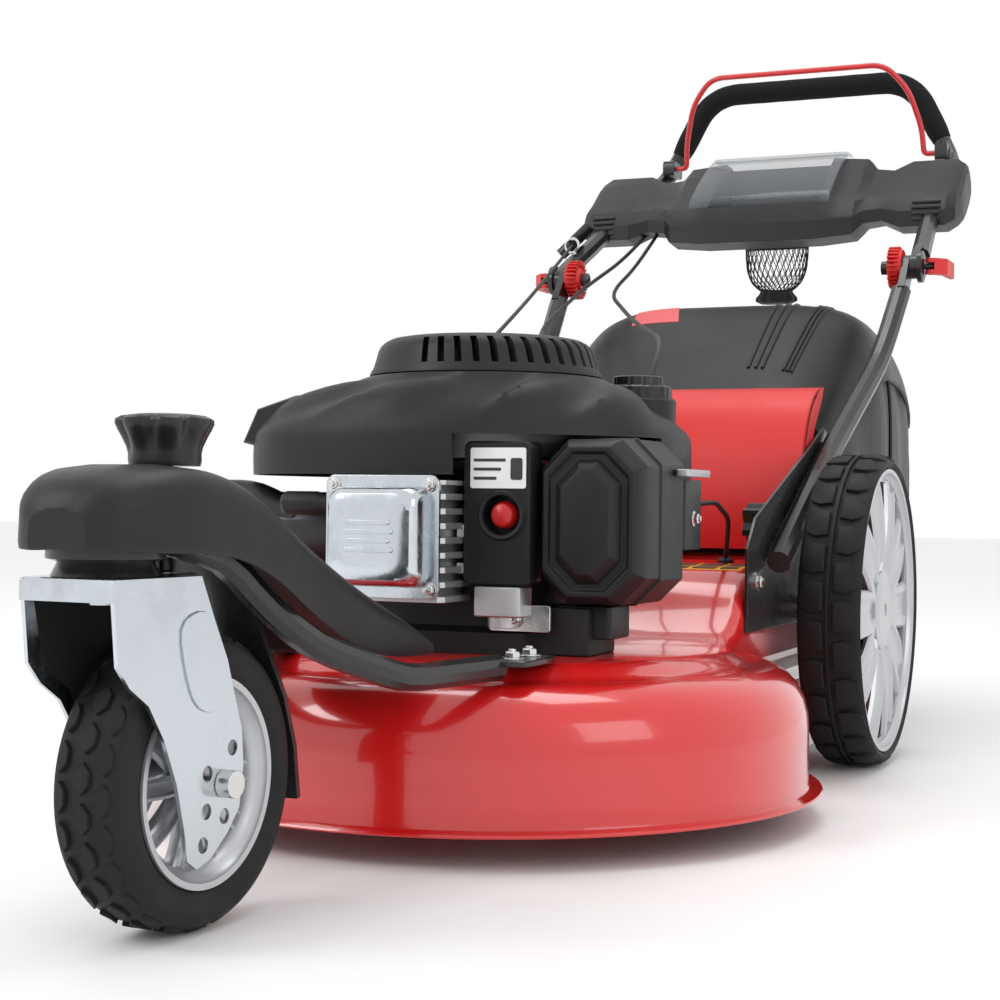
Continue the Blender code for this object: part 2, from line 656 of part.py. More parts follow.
hood_steps = [(0.0, SHROUD_Z), (0.0, 0.3300), (0.10, 0.3440), (0.30, 0.3560), (0.60, 0.3680), (0.85,
    0.3770), (1.0, 0.3845), (1.12, 0.3850)]
rings = [shroud_ring(t, z, 0.0) for t, z in hood_steps]
rings += [shroud_ring(t, z - (PLASTIC if t > 0.05 else 0.0), PLASTIC if t < 1.05 else 0.0) for t,
          z in reversed(hood_steps)]
shroud = loft("engine_shroud", rings, BLACK_PLASTIC, closed=True, crease=28.0)
FILTER_X0, FILTER_X1 = 0.0932, 0.1880
FILTER_Y0, FILTER_Y1 = -0.5620, -0.4400
FILTER_Z0, FILTER_Z1 = 0.1900, 0.3290
cut(shroud, [box((0.0905, 0.26), (-0.70, FILTER_Y1 + 0.002), (0.25, FILTER_Z1 + 0.002)),
             box((0.0290, 0.10), (-0.70, -0.5285), (0.25, FILTER_Z1 + 0.002))])
CAP_X, CAP_Y, CAP_Z = 0.1210, -0.3690, 0.3690
join(shroud, [rod("z", (CAP_X, CAP_Y, 0), 0.0340, 0.3450, CAP_Z, 24)])
cut(shroud, [rod("z", (CAP_X, CAP_Y, 0), 0.0312, CAP_Z, 0.42, 24), rod("z", (CAP_X, CAP_Y, 0), 0.0178,
    0.3, 0.4, 20)])

recoil_prof = [(RECOIL_R + 0.003, SHROUD_TOP - 0.0015), (RECOIL_R, 0.3920), (0.0965, 0.4080), (0.0900,
    0.4160), (0.0780, 0.4198), (0.0300, 0.4206),
               (0, 0.4207)]
recoil_in = [(0, 0.4180), (0.0300, 0.4178), (0.0765, 0.4170), (0.0875, 0.4135), (0.0938, 0.4068),
             (RECOIL_R - PLASTIC, 0.3915),
             (RECOIL_R, SHROUD_TOP - 0.0015)]
recoil = turned("recoil_housing", recoil_prof + recoil_in, BLACK_PLASTIC, "z", (0, CRANK_Y, 0), 32,
                crease=30.0)
for k in range(20):
    t = 2 * math.pi * k / 20 + 0.1
    if abs((math.degrees(t) - 238) % 360) < 34 or abs((math.degrees(t) - 238) % 360 - 360) < 34:
        continue
    c, s = math.cos(t), math.sin(t)
    lean = 0.012
    quad = []
    for r, along in ((0.104, -0.0042), (0.104, 0.0042), (0.072, 0.0042 - lean), (0.072, -0.0042 - lean)):
        quad.append((r * c - along * s, CRANK_Y + r * s + along * c))
    cut(recoil, [prism("slot", quad, 0.3925, 0.4160, BLACK_PLASTIC, "z")])

flywheel = turned("flywheel", [(0.0128, 0.3180), (0.0300, 0.3180), (0.0300, 0.3120), (0.0880, 0.3120),
                               (0.0880, 0.3400), (0.0600, 0.3400),
                               (0.0600, 0.3500), (0.0128, 0.3500)], ALU, "z", (0, CRANK_Y, 0), 32,
                               ring=True)
crankshaft = turned("crankshaft", [(0.0050, 0.0577), (0.0290, 0.0577), (0.0290, 0.0650), (0.0170, 0.0680),
                                   (0.0125, 0.0760), (0.0125, 0.3650),
                                   (0, 0.3650), (0, 0.0900), (0.0050, 0.0900)], ZINC, "z", (0, CRANK_Y,
                                       0), 24, ring=True)
blade_bolt = turned("blade_bolt", [(0, 0.0460), (0.0115, 0.0460), (0.0115, 0.0537), (0.0047, 0.0537),
                                   (0.0047, 0.0880), (0, 0.0880)],
                    DARK_STEEL, "z", (0, CRANK_Y, 0), 12)
BZ = 0.0540
half_w = 0.026
sections = []
for x, y0, y1, dz in ((-BLADE_HALF + 0.004, -half_w + 0.004, half_w - 0.006, 0.014), (-0.225, -half_w,
    half_w, 0.010),
                      (-0.170, -half_w, half_w, 0.0), (0.170, -half_w, half_w, 0.0), (0.225, -half_w,
                          half_w, 0.010),
                      (BLADE_HALF - 0.004, -half_w + 0.006, half_w - 0.004, 0.014)):
    up0 = dz if x > 0 else 0.0
    up1 = 0.0 if x > 0 else dz
    sections.append([Vector((x, CRANK_Y + y0, BZ + up0)), Vector((x, CRANK_Y + y1, BZ + up1)),
                     Vector((x, CRANK_Y + y1, BZ + up1 + 0.0033)),
                     Vector((x, CRANK_Y + y0, BZ + up0 + 0.0033))])
blade = loft("blade", sections, DARK_STEEL, (0, CRANK_Y, BZ))
cut(blade, [rod("z", (0, CRANK_Y, 0), 0.0051, 0.03, 0.08, 14)])

carb_cover = slab("carburettor_cover", (0.0320, 0.0925), (-0.5560, -0.5303), (0.2060, 0.3250),
                  BLACK_PLASTIC, "y", 0.005, 0.0015)
PX, PZ = 0.067, 0.264
cut(carb_cover, [rod("y", (PX, 0, PZ), 0.0165, -0.57, -0.5415, 20),
                 rod("y", (PX, 0, PZ), 0.0048, -0.56, -0.5320, 12)])
primer = turned("primer_bulb", [(0, -0.5602), (0.0050, -0.5595), (0.0092, -0.5570), (0.0115, -0.5525),
                                (0.0120, -0.5480), (0.0042, -0.5480),
                                (0.0042, -0.5378), (0, -0.5378)], RED_RUBBER, "y", (PX, 0, PZ), 18,
                                origin=(PX, -0.5480, PZ))


def fring(inset, y, r):
    pts = []
    for (zz, x) in rounded(FILTER_Z0 + inset, FILTER_Z1 - inset, FILTER_X0 + inset, FILTER_X1 - inset, r,
                           1):
        pts.append(Vector((x, y, zz)))
    return pts


air_filter = loft("air_filter_cover", [fring(0.002, FILTER_Y1, 0.018),
                                       fring(0.0, FILTER_Y1 - 0.003, 0.020), fring(0.0, -0.5360, 0.020),
                                       fring(0.0100, -0.5560, 0.022),
                                       fring(0.0150, -0.5560, 0.020), fring(0.0180, -0.5620, 0.020)],
                                       BLACK_PLASTIC)
carb = slab("carburettor", (0.0420, 0.0860), (-0.5600, -0.5303), (0.1800, 0.2050), ALU, "z", 0.006, 0.001)
bowl = rod("z", (0.064, -0.5445, 0), 0.0125, 0.1706, 0.190, 18)
join(carb, [bowl])
tank = slab("fuel_tank", (0.0932, 0.1480), (-0.4300, -0.3250), (0.2300, 0.3280), BLACK_PLASTIC, "z",
            0.012, 0.003)
tank_neck = rod("z", (CAP_X, CAP_Y, 0), 0.0170, 0.3240, CAP_Z, 20)
join(tank, [tank_neck])
cut(tank, [slab("hollow", (0.0960, 0.1452), (-0.4272, -0.3278), (0.2328, 0.3252), BLACK_PLASTIC, "z",
                0.010, 0.002)])
cut(tank, [rod("z", (CAP_X, CAP_Y, 0), 0.0142, 0.32, 0.38, 20)])
fuel_cap = turned("fuel_cap", [(0, CAP_Z - 0.010), (0.0136, CAP_Z - 0.010), (0.0136, CAP_Z + GAP),
                               (0.0290, CAP_Z + GAP), (0.0305, CAP_Z + 0.002),
                               (0.0305, CAP_Z + 0.0160), (0.0285, CAP_Z + 0.0200), (0, CAP_Z + 0.0205)],
                               BLACK_PLASTIC, "z", (CAP_X, CAP_Y, 0), 24,
                  origin=(CAP_X, CAP_Y, CAP_Z))
muffler = turned("muffler", [(0, -0.205), (0.0300, -0.205), (0.0340, -0.200), (0.0340, -0.120),
                             (0.0300, -0.1125), (0, -0.1125)], DARK_STEEL, "x",
                 (0, -0.470, 0.2480), 24)
pipe = sweep("pipe", fillet([(-0.160, -0.492, 0.262), (-0.200, -0.500, 0.281), (-0.247, -0.505, 0.281)],
                            0.015, 3), 0.0115, DARK_STEEL, 12)
join(muffler, [pipe])
boot = turned("spark_plug_boot", [(0, -0.132), (0.0080, -0.132), (0.0105, -0.128), (0.0105, -0.100),
                                  (0.0085, -0.0950), (0.0085, -0.0765), (0, -0.0765)],
              RUBBER, "x", (0, -0.566, 0.272), 14)
oil_cap = turned("oil_filler_cap", [(0, -0.1430), (0.0170, -0.1430), (0.0185, -0.1400), (0.0185, -0.1118),
                                    (0.0080, -0.1118), (0.0080, -0.0985), (0, -0.0985)],
                 BLACK_PLASTIC, "x", (0, -0.385, 0.225), 18, origin=(-0.11, -0.385, 0.225))

# ---------------------------------------------------------------- handle
LOW_A = (LOW_X, -0.168, 0.2180)
LOW_B = (LOW_X, 0.075, 0.3430)
LOW_C = (0.2180, 0.245, 0.4480)
CL = (CLAMP_X, CLAMP_Y, CLAMP_Z)
low_path = fillet([LOW_A, LOW_B, LOW_C, (CLAMP_X - 0.0065, CLAMP_Y - 0.030, CLAMP_Z - 0.0330)], 0.05, 3)
lower = sweep("lower_handle_right", low_path, TUBE_R, BLACK_METAL, 10)
FLAT = 0.0022
EAR_R = 0.0150


def ear(x0, x1, direction, length):
    """Flattened tube end with a round eye at the clamp."""
    d = Vector(direction).normalized()
    n = Vector((-d.y, d.x))
    out = []
    for k in range(9):
        t = math.pi * (k / 8 - 0.5)
        q = -d * (EAR_R * math.cos(t)) + n * (EAR_R * math.sin(t))
        out.append((CLAMP_Y + q.x, CLAMP_Z + q.y))
    for s in (1, -1):
        q = d * length + n * EAR_R * 0.86 * s
        out.append((CLAMP_Y + q.x, CLAMP_Z + q.y))
    return prism("ear", out, x0, x1, BLACK_METAL, "x")


low_dir = (LOW_C[1] - CLAMP_Y, LOW_C[2] - CLAMP_Z)
join(lower, [ear(CLAMP_X - 0.0090, CLAMP_X - GAP / 2, low_dir, 0.050)])
UP_A = (CLAMP_X + 0.006, CLAMP_Y + 0.030, CLAMP_Z + 0.0165)
up_pts = [UP_A, (0.2300, 0.500, 0.6490), (0.2280, 0.640, 0.7260), (EXIT_X, LOOP_Y - 0.010, EXIT_Z),
          (LOOP_HALF + 0.004, LOOP_Y, LOOP_Z)]
up_all = up_pts + [(-x, y, z) for x, y, z in reversed(up_pts)]
upper = sweep("upper_handle", fillet(up_all, 0.045, 3), TUBE_R, BLACK_METAL, 10, origin=(0, CLAMP_Y,
    CLAMP_Z))
up_dir = (0.500 - CLAMP_Y, 0.6490 - CLAMP_Z)
ear_r = ear(CLAMP_X + GAP / 2, CLAMP_X + 0.0090, up_dir, 0.050)
ear_l = mirrored(ear_r, "ear_l")
lug_r = slab("lug", (0.1970, 0.2150), (LOOP_Y - 0.0540, LOOP_Y - 0.0100), (EXIT_Z + 0.0020, EXIT_Z + 0.0260), BLACK_METAL, "x", 0.005, 0.0008)
lug_l = mirrored(lug_r, "lug_l")
join(upper, [ear_r, ear_l, lug_r, lug_l])
hole_r = rod("x", (0, CLAMP_Y, CLAMP_Z), 0.0043, -0.30, 0.30, 14)
cut(upper, [hole_r])
cut(lower, [rod("x", (0, CLAMP_Y, CLAMP_Z), 0.0043, 0.1, 0.30, 14)])

side_dir = (Vector(up_pts[-1]) - Vector(up_pts[-2])).normalized()
start = Vector(up_pts[-2]) + side_dir * 0.046
grip_path = [p for p in fillet(up_all, 0.045, 3) if p.z > start.z + 0.002]
grip_path = [start] + grip_path + [Vector((-start.x, start.y, start.z))]
grip = sleeve("handle_grip", grip_path, GRIP_R, TUBE_R / math.cos(math.pi / 10) + GAP, FOAM, 10, (0,
    CLAMP_Y, CLAMP_Z))

seat_dir = Vector((0, low_dir[0], low_dir[1])).normalized()
seat = turned("clamp_seat_right", [(0.0048, CLAMP_X - 0.0280), (0.0130, CLAMP_X - 0.0280),
                                   (0.0150, CLAMP_X - 0.0260), (0.0215, CLAMP_X - 0.0180),
                                   (0.0225, CLAMP_X - 0.0160), (0.0225, CLAMP_X - 0.0093), (0.0048,
                                       CLAMP_X - 0.0093)], RED_PLASTIC, "x",
              (0, CLAMP_Y, CLAMP_Z), 24, ring=True)
bolt = turned("clamp_bolt_right", [(0, CLAMP_X - 0.0365), (0.0085, CLAMP_X - 0.0365),
                                   (0.0085, CLAMP_X - 0.0283), (0.0040, CLAMP_X - 0.0283),
                                   (0.0040, CLAMP_X + 0.0270), (0, CLAMP_X + 0.0270)], BLACK_METAL, "x",
                                   (0, CLAMP_Y, CLAMP_Z), 14)
LEVER_X = CLAMP_X + 0.0245
disc = turned("disc", [(0, CLAMP_X + 0.0093), (0.0200, CLAMP_X + 0.0093), (0.0200, CLAMP_X + 0.0150),
                       (0.0145, CLAMP_X + 0.0170),
                       (0, CLAMP_X + 0.0170)], RED_PLASTIC, "x", (0, CLAMP_Y, CLAMP_Z), 22)
cross_pin = rod("z", (CLAMP_X + 0.0245, CLAMP_Y, 0), 0.0022, CLAMP_Z - 0.0096, CLAMP_Z + 0.0096, 12)
join(bolt, [disc, cross_pin])
cam_origin = (LEVER_X, CLAMP_Y, CLAMP_Z)
cam = turned("cam_lever_right", [(0.0070, -0.0100), (0.0070, 0.0100)], RED_PLASTIC, "z", (LEVER_X,
    CLAMP_Y, CLAMP_Z), 18, origin=cam_origin)
arm = prism("arm", [(LEVER_X - 0.004, CLAMP_Y - 0.004), (LEVER_X + 0.0060, CLAMP_Y - 0.0060),
                    (LEVER_X + 0.0190, CLAMP_Y + 0.0100), (LEVER_X + 0.0200, CLAMP_Y + 0.0560),
                    (LEVER_X + 0.0140, CLAMP_Y + 0.0590), (LEVER_X + 0.0100, CLAMP_Y + 0.0160), (LEVER_X,
                        CLAMP_Y + 0.0060)],
            CLAMP_Z - 0.0100, CLAMP_Z + 0.0100, RED_PLASTIC, "z")
join(cam, [arm])
cut(cam, [box((LEVER_X - 0.020, LEVER_X + 0.0050), (CLAMP_Y - 0.020, CLAMP_Y + 0.0050), (CLAMP_Z - 0.0046,
    CLAMP_Z + 0.0046)),
          rod("z", (LEVER_X, CLAMP_Y, 0), 0.0026, CLAMP_Z - 0.02, CLAMP_Z + 0.02, 12)])

star_prof = []
for k in range(30):
    t = 2 * math.pi * k / 30
    r = 0.0172 + 0.0042 * math.cos(5 * t)
    star_prof.append((KNOB_Y + r * math.cos(t), KNOB_Z + r * math.sin(t)))
star = prism("star_knob_right", star_prof, 0.1560, 0.1745, BLACK_PLASTIC, "x", origin=(0.165, KNOB_Y,
    KNOB_Z))
hub = rod("x", (0, KNOB_Y, KNOB_Z), 0.0090, 0.1700, BR_X - GAP, 16)
stud = rod("x", (0, KNOB_Y, KNOB_Z), 0.0040, 0.1800, BR_X + BR_T - 0.0003, 12)
join(star, [hub, stud])

# rope guide on the left upper tube and the starter grip
GX, GY, GZ = -0.2385, 0.4085, 0.6280
ring_pts = []
n_maj, n_min = 14, 6
v_, f_ = [], []
for i in range(n_maj):
    a = 2 * math.pi * i / n_maj
    for j in range(n_min):
        b = 2 * math.pi * j / n_min
        rr = 0.0095 + 0.0020 * math.cos(b)
        v_.append(Vector((GX + rr * math.cos(a), GY + 0.0020 * math.sin(b), GZ + rr * math.sin(a))))
for i in range(n_maj):
    for j in range(n_min):
        f_.append((i * n_min + j, i * n_min + (j + 1) % n_min,
                   ((i + 1) % n_maj) * n_min + (j + 1) % n_min, ((i + 1) % n_maj) * n_min + j))
guide = emit("rope_guide", v_, f_, ZINC, (GX, GY, GZ))
post = sweep("post", [(GX + 0.003, GY, GZ - 0.0085), (GX + 0.004, GY, GZ - 0.0110),
                      (GX + 0.004, GY, GZ - 0.0125)], 0.0024, ZINC, 8)
join(guide, [post])

SG = Vector((GX, GY + 0.0050, GZ + 0.0040))
ROPE_A = Vector((-0.0580, CRANK_Y + 0.0840, 0.4020))
rope_dir = (Vector((GX, GY, GZ)) - ROPE_A).normalized()
grip_path_s = [SG, SG + rope_dir * 0.012, SG + rope_dir * 0.030]
s_grip = sweep("starter_grip", grip_path_s, 0.0065, BLACK_PLASTIC, 12, origin=SG)
bar = sweep("bar", [SG + rope_dir * 0.030 + Vector((-0.0225, 0, -0.0198)), SG + rope_dir * 0.034,
                    SG + rope_dir * 0.030 + Vector((0.0225, 0, 0.0198))],
            0.0085, BLACK_PLASTIC, 12)
join(s_grip, [bar])
rope_end = Vector((GX, GY, GZ)) + rope_dir * 0.0025
starter_rope = sweep("starter_rope", [ROPE_A, ROPE_A.lerp(rope_end, 0.5) + Vector((0, 0, -0.004)),
                                      rope_end], 0.0022, RUBBER, 8)

# ---------------------------------------------------------------- cables
CABLE_R = 0.0025


def cable(name, points, r=CABLE_R):
    return sweep(name, fillet(points, 0.06, 3), r, RUBBER, 6)


brake_path = [(-0.1700, 0.5360, 0.6600), (-0.1850, 0.4600, 0.6100), (-0.1950, 0.3400, 0.5600), (-0.1400,
    0.0500, 0.4800), (-0.0600, -0.1600, 0.4300),
                      (-0.0500, -0.2450, 0.3800), (-0.0500, -0.2480, 0.3300)]
throttle_path = [(-0.1560, 0.5380, 0.6600), (-0.1650, 0.4600, 0.6000), (-0.1550, 0.3300, 0.5500),
                 (-0.0500, 0.1200, 0.4900), (0.0500, -0.0800, 0.4500),
                         (0.0800, -0.2000, 0.4100), (0.0800, -0.2450, 0.3600)]
cable("brake_cable", brake_path)
cable("throttle_cable", throttle_path)
cable("link_cable", [(0.1570, -0.2960, 0.2750), (0.1570, -0.2400, 0.2770), (0.1450, -0.1500, 0.2600),
                     (0.1300, -0.1050, 0.2250), (0.1280, -0.1000, 0.2155)])

# ---------------------------------------------------------------- console
CON = [(0.498, 0.6440), (0.500, 0.6660), (0.515, 0.6880), (0.545, 0.7080), (0.585, 0.7400), (0.612,
    0.7560), (0.640, 0.7560), (0.662, 0.7380),
       (0.668, 0.7150), (0.640, 0.6880), (0.590, 0.6560), (0.540, 0.6400)]


def console_ring(x, grow, squeeze):
    cy, cz = 0.585, 0.700
    out = []
    for y, z in CON:
        out.append(Vector((x, cy + (y - cy) * grow, cz + (z - cz) * squeeze)))
    return out


console = loft("console_body", [console_ring(-0.266, 0.55, 0.60), console_ring(-0.262, 0.80, 0.80),
                                console_ring(-0.250, 0.94, 0.95), console_ring(-0.190, 0.95, 0.95),
                                console_ring(-0.165, 0.80, 0.74), console_ring(-0.140, 0.84, 0.80),
                                console_ring(-0.128, 1.0, 1.08), console_ring(-0.080, 1.05, 1.16),
                                console_ring(0.080, 1.05, 1.16), console_ring(0.128, 1.0, 1.08),
                                console_ring(0.140, 0.84, 0.80), console_ring(0.165, 0.80, 0.74),
                                console_ring(0.190, 0.95, 0.95), console_ring(0.250, 0.94, 0.95),
                                console_ring(0.262, 0.80, 0.80), console_ring(0.266, 0.55, 0.60)],
               BLACK_PLASTIC, (0, CLAMP_Y, CLAMP_Z), crease=40.0)
clear_path = fillet(up_all, 0.045, 3)
channel = sweep("channel", clear_path, TUBE_R + GAP, BLACK_PLASTIC, 10)
cut(console, [channel, cable("bore_a", brake_path[:3], CABLE_R + GAP), cable("bore_b", throttle_path[:3],
    CABLE_R + GAP)])
# storage tray under the lid
tray = prism("tray", [(0.520, 0.6800), (0.560, 0.6660), (0.640, 0.7160), (0.652, 0.800), (0.560, 0.800),
                      (0.470, 0.740)], -0.078, 0.078, BLACK_PLASTIC, "x")
cut(console, [tray])

LID = [(0.4925, 0.6870), (0.5020, 0.7020), (0.5600, 0.7440), (0.6180, 0.7745), (0.6480, 0.7745)]


def lid_section(x, sink):
    out = [Vector((x, y, z - sink)) for y, z in LID]
    inn = [Vector((x, y + 0.0012, z - 0.0030 - sink)) for y, z in reversed(LID)]
    return out + inn


lid = loft("console_lid", [lid_section(-0.098, 0.0), lid_section(-0.090, -0.0015),
                           lid_section(0.090, -0.0015), lid_section(0.098, 0.0)], CLEAR,
           (0, 0.6480, 0.7730), crease=25.0)

net_rings = []
for z, hx, hy in ((0.6400, 0.046, 0.010), (0.6100, 0.044, 0.016), (0.5900, 0.036, 0.018), (0.5780, 0.022,
    0.015), (0.5660, 0.030, 0.018), (0.5600, 0.016, 0.012)):
    ring = []
    for k in range(16):
        t = 2 * math.pi * k / 16
        ring.append(Vector((hx * math.cos(t), 0.602 + hy * math.sin(t), z + 0.0 * hx)))
    net_rings.append(ring)
net = loft("net_pocket", net_rings, FABRIC, (0, 0.602, 0.650))

# red brake bail in front of the loop
BP = (0.1850, LOOP_Y - 0.0420, EXIT_Z + 0.0140)
bail_pts = [(0.1960, BP[1], BP[2]), (0.1800, BP[1], BP[2]), (0.1780, BP[1] - 0.0080, BP[2] + 0.0360),
            (0.1620, BP[1] - 0.0300, LOOP_Z - 0.0285), (0.1300, BP[1] - 0.0460, LOOP_Z + 0.0065)]
bail_all = bail_pts + [(-x, y, z) for x, y, z in reversed(bail_pts)]
bail = sweep("brake_bail", fillet(bail_all, 0.016, 2), 0.0040, RED_PLASTIC, 8, origin=(0, BP[1], BP[2]))
# ---------------------------------------------------------------- flap and bag
FLAP_HALF = 0.1835
hy, hz = 0.0040, 0.2300
curve = [(0.0000, 0.2262), (-0.0040, 0.2500), (-0.0010, 0.2900), (0.0130, 0.3400), (0.0400, 0.3810),
         (0.0700, 0.4010), (0.1010, 0.4080)]
inner_curve = [(0.1010, 0.4045), (0.0715, 0.3975), (0.0425, 0.3782), (0.0162, 0.3385), (0.0025, 0.2893),
               (-0.0004, 0.2500), (0.0036, 0.2262)]
flap = prism("rear_flap", curve + inner_curve, -FLAP_HALF, FLAP_HALF, RED_PLASTIC, "x", origin=(0, hy,
    hz), crease=40.0)
for side in (-1, 1):
    cheek = prism("cheek", curve + [(0.0950, 0.3950), (0.0600, 0.3600), (0.0360, 0.3200),
                                    (0.0220, 0.2700), (0.0100, 0.2262)],
                  side * FLAP_HALF, side * (FLAP_HALF - 0.003), RED_PLASTIC, "x")
    join(flap, [cheek])

BAG = [  # y, half width, low, high
    (BAG_FRONT, 0.165, 0.052, 0.2130), (0.105, 0.171, 0.050, 0.3450), (0.150, 0.176, 0.048, 0.3950),
    (0.240, 0.190, 0.048, 0.4620),
    (0.345, 0.2040, 0.055, 0.5230), (0.430, 0.2050, 0.065, 0.5230), (0.520, 0.2020, 0.080, 0.4980),
    (0.590, 0.1920, 0.105, 0.4500), (0.622, 0.1700, 0.140, 0.4000)]


def bag_ring(y, half, low, high, grow, count=20):
    pts = []
    cz = (low + high) / 2
    hz_ = (high - low) / 2
    for k in range(count):
        t = 2 * math.pi * k / count
        c, s = math.cos(t), math.sin(t)
        e = 0.45
        x = (half + grow) * math.copysign(abs(c) ** e, c)
        z = (hz_ + grow) * math.copysign(abs(s) ** e, s)
        pts.append(Vector((x, y, cz + z)))
    return pts


WALL = 0.004
bag_out = [bag_ring(*b, 0.0) for b in BAG]
bag_in = [bag_ring(b[0] - (WALL if i == len(BAG) - 1 else 0), b[1], b[2], b[3], -WALL) for i,
          b in enumerate(BAG)]
bag_in = [[p.copy() for p in r] for r in bag_in]
verts, faces = [], []
n = 20
for r in bag_out + bag_in:
    verts.extend(r)
m = len(bag_out)
for i in range(m - 1):
    for k in range(n):
        k2 = (k + 1) % n
        faces.append((i * n + k, i * n + k2, (i + 1) * n + k2, (i + 1) * n + k))
        o = m * n
        faces.append((o + i * n + k2, o + i * n + k, o + (i + 1) * n + k, o + (i + 1) * n + k2))
for k in range(n):
    k2 = (k + 1) % n
    faces.append((k2, k, m * n + k, m * n + k2))
faces.append(tuple((m - 1) * n + k for k in range(n)))
faces.append(tuple(m * n + (m - 1) * n + k for k in range(n - 1, -1, -1)))
bag = emit("grass_bag", verts, faces, FABRIC, (0, BAG_FRONT, 0.20))

LID_SPAN = range(1, 10)
lid_rings = []
for y, half, low, high in BAG[2:-1]:
    a = bag_ring(y, half, low, high, BAG_SPLIT + 0.0032)
    b = bag_ring(y, half, low, high, BAG_SPLIT)
    lid_rings.append([a[k] for k in LID_SPAN] + [b[k] for k in reversed(LID_SPAN)])
bag_lid = loft("bag_lid", lid_rings, BLACK_PLASTIC, (0, BAG_FRONT, 0.20), crease=40.0)

# ---------------------------------------------------------------- left-hand copies
for right, left_name in (("handle_bracket_right", "handle_bracket_left"), ("axle_stub_right",
    "axle_stub_left"), ("rear_tyre_right", "rear_tyre_left"),
                         ("rear_rim_right", "rear_rim_left"), ("lower_handle_right", "lower_handle_left"),
                         ("clamp_seat_right", "clamp_seat_left"),
                         ("clamp_bolt_right", "clamp_bolt_left"), ("cam_lever_right", "cam_lever_left"),
                         ("star_knob_right", "star_knob_left")):
    mirrored(bpy.data.objects[right], left_name)

for ob in parts:
    ob.data.name = ob.name
    ob.location.y += SHIFT_Y
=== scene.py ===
"""Looks of the three-wheeled petrol lawn mower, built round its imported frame."""

import json
import math

import bmesh
import bpy
from mathutils import Matrix, Vector
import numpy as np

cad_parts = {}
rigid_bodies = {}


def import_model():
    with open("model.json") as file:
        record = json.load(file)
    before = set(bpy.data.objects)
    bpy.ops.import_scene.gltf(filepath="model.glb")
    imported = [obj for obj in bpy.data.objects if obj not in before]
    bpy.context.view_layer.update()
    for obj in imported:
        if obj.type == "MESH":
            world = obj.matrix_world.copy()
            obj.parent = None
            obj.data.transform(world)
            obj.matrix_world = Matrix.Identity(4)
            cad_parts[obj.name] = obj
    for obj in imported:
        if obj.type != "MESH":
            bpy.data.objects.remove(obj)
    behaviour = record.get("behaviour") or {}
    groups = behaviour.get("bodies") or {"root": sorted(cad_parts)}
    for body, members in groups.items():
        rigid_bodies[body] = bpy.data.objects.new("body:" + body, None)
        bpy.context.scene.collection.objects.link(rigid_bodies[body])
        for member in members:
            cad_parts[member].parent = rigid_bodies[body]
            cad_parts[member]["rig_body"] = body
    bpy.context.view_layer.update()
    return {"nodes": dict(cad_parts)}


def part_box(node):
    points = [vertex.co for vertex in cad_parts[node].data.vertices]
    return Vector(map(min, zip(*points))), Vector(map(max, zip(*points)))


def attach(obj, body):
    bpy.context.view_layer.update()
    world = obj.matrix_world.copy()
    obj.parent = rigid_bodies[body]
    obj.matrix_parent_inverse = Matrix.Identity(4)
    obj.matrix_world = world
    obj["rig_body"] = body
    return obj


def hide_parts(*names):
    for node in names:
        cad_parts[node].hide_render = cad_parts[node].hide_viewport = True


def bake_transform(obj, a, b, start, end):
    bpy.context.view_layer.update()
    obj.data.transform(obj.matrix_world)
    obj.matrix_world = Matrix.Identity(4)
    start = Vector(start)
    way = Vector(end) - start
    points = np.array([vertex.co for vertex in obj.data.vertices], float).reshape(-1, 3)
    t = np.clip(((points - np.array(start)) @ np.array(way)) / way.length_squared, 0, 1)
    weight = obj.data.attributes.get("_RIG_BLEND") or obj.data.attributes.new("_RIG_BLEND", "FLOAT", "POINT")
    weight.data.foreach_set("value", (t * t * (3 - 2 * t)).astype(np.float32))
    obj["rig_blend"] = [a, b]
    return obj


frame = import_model()


def centre(node):
    lo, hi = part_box(node)
    return (lo + hi) / 2


# Working coordinates put the rear axle at y = 0; SHIFT moves them into the frame.
SHIFT = centre("rear_tyre_right").y

# Main sizes of the machine in metres, in working coordinates.
WHEEL_R, WHEEL_W, WHEEL_BEAD, WHEEL_INSET = 0.165, 0.0635, 0.1484, 0.01
CASTER_R, CASTER_W, CASTER_BEAD, CASTER_INSET = 0.0955, 0.0546, 0.0671, 0.014
CASTER_Y, KINGPIN_Y, YAW_Y, YAW_DEG = -0.9401, -0.9505, -1.0131, -4.4
SPOKES, REAR_LUGS, CASTER_LUGS = 10, 26, 24
CRANK_Y = -0.437
PRIMER_AT = (0.067, 0, 0.264)
CLAMP_Y, CLAMP_Z = 0.361, 0.574
NET_Y = 0.602
BRACKET_FACE = 0.1885
CABLE_R, ROPE_R, TAIL_R = 0.0025, 0.0022, 0.002
GRAIN_DEPTH, COAT_ROUGH, THREADS = 0.0006, 0.06, 6.0
THIN = 1e-6  # radius that stands for a point on the axis


# ---------------------------------------------------------------- materials
def nodes_of(name):
    m = bpy.data.materials.new(name)
    m.use_nodes = True
    nt = m.node_tree
    return m, nt, nt.nodes["Principled BSDF"]


def put(n, kind, data_type=None, **values):
    """New shader node, its inputs set by name with _ for a space."""
    node = n.new("ShaderNode" + kind)
    if data_type:
        node.data_type = data_type
    for key, value in values.items():
        node.inputs[key.replace("_", " ")].default_value = value
    return node


def tinted(colour, factor):
    return (*[min(c * factor, 1) for c in colour], 1)


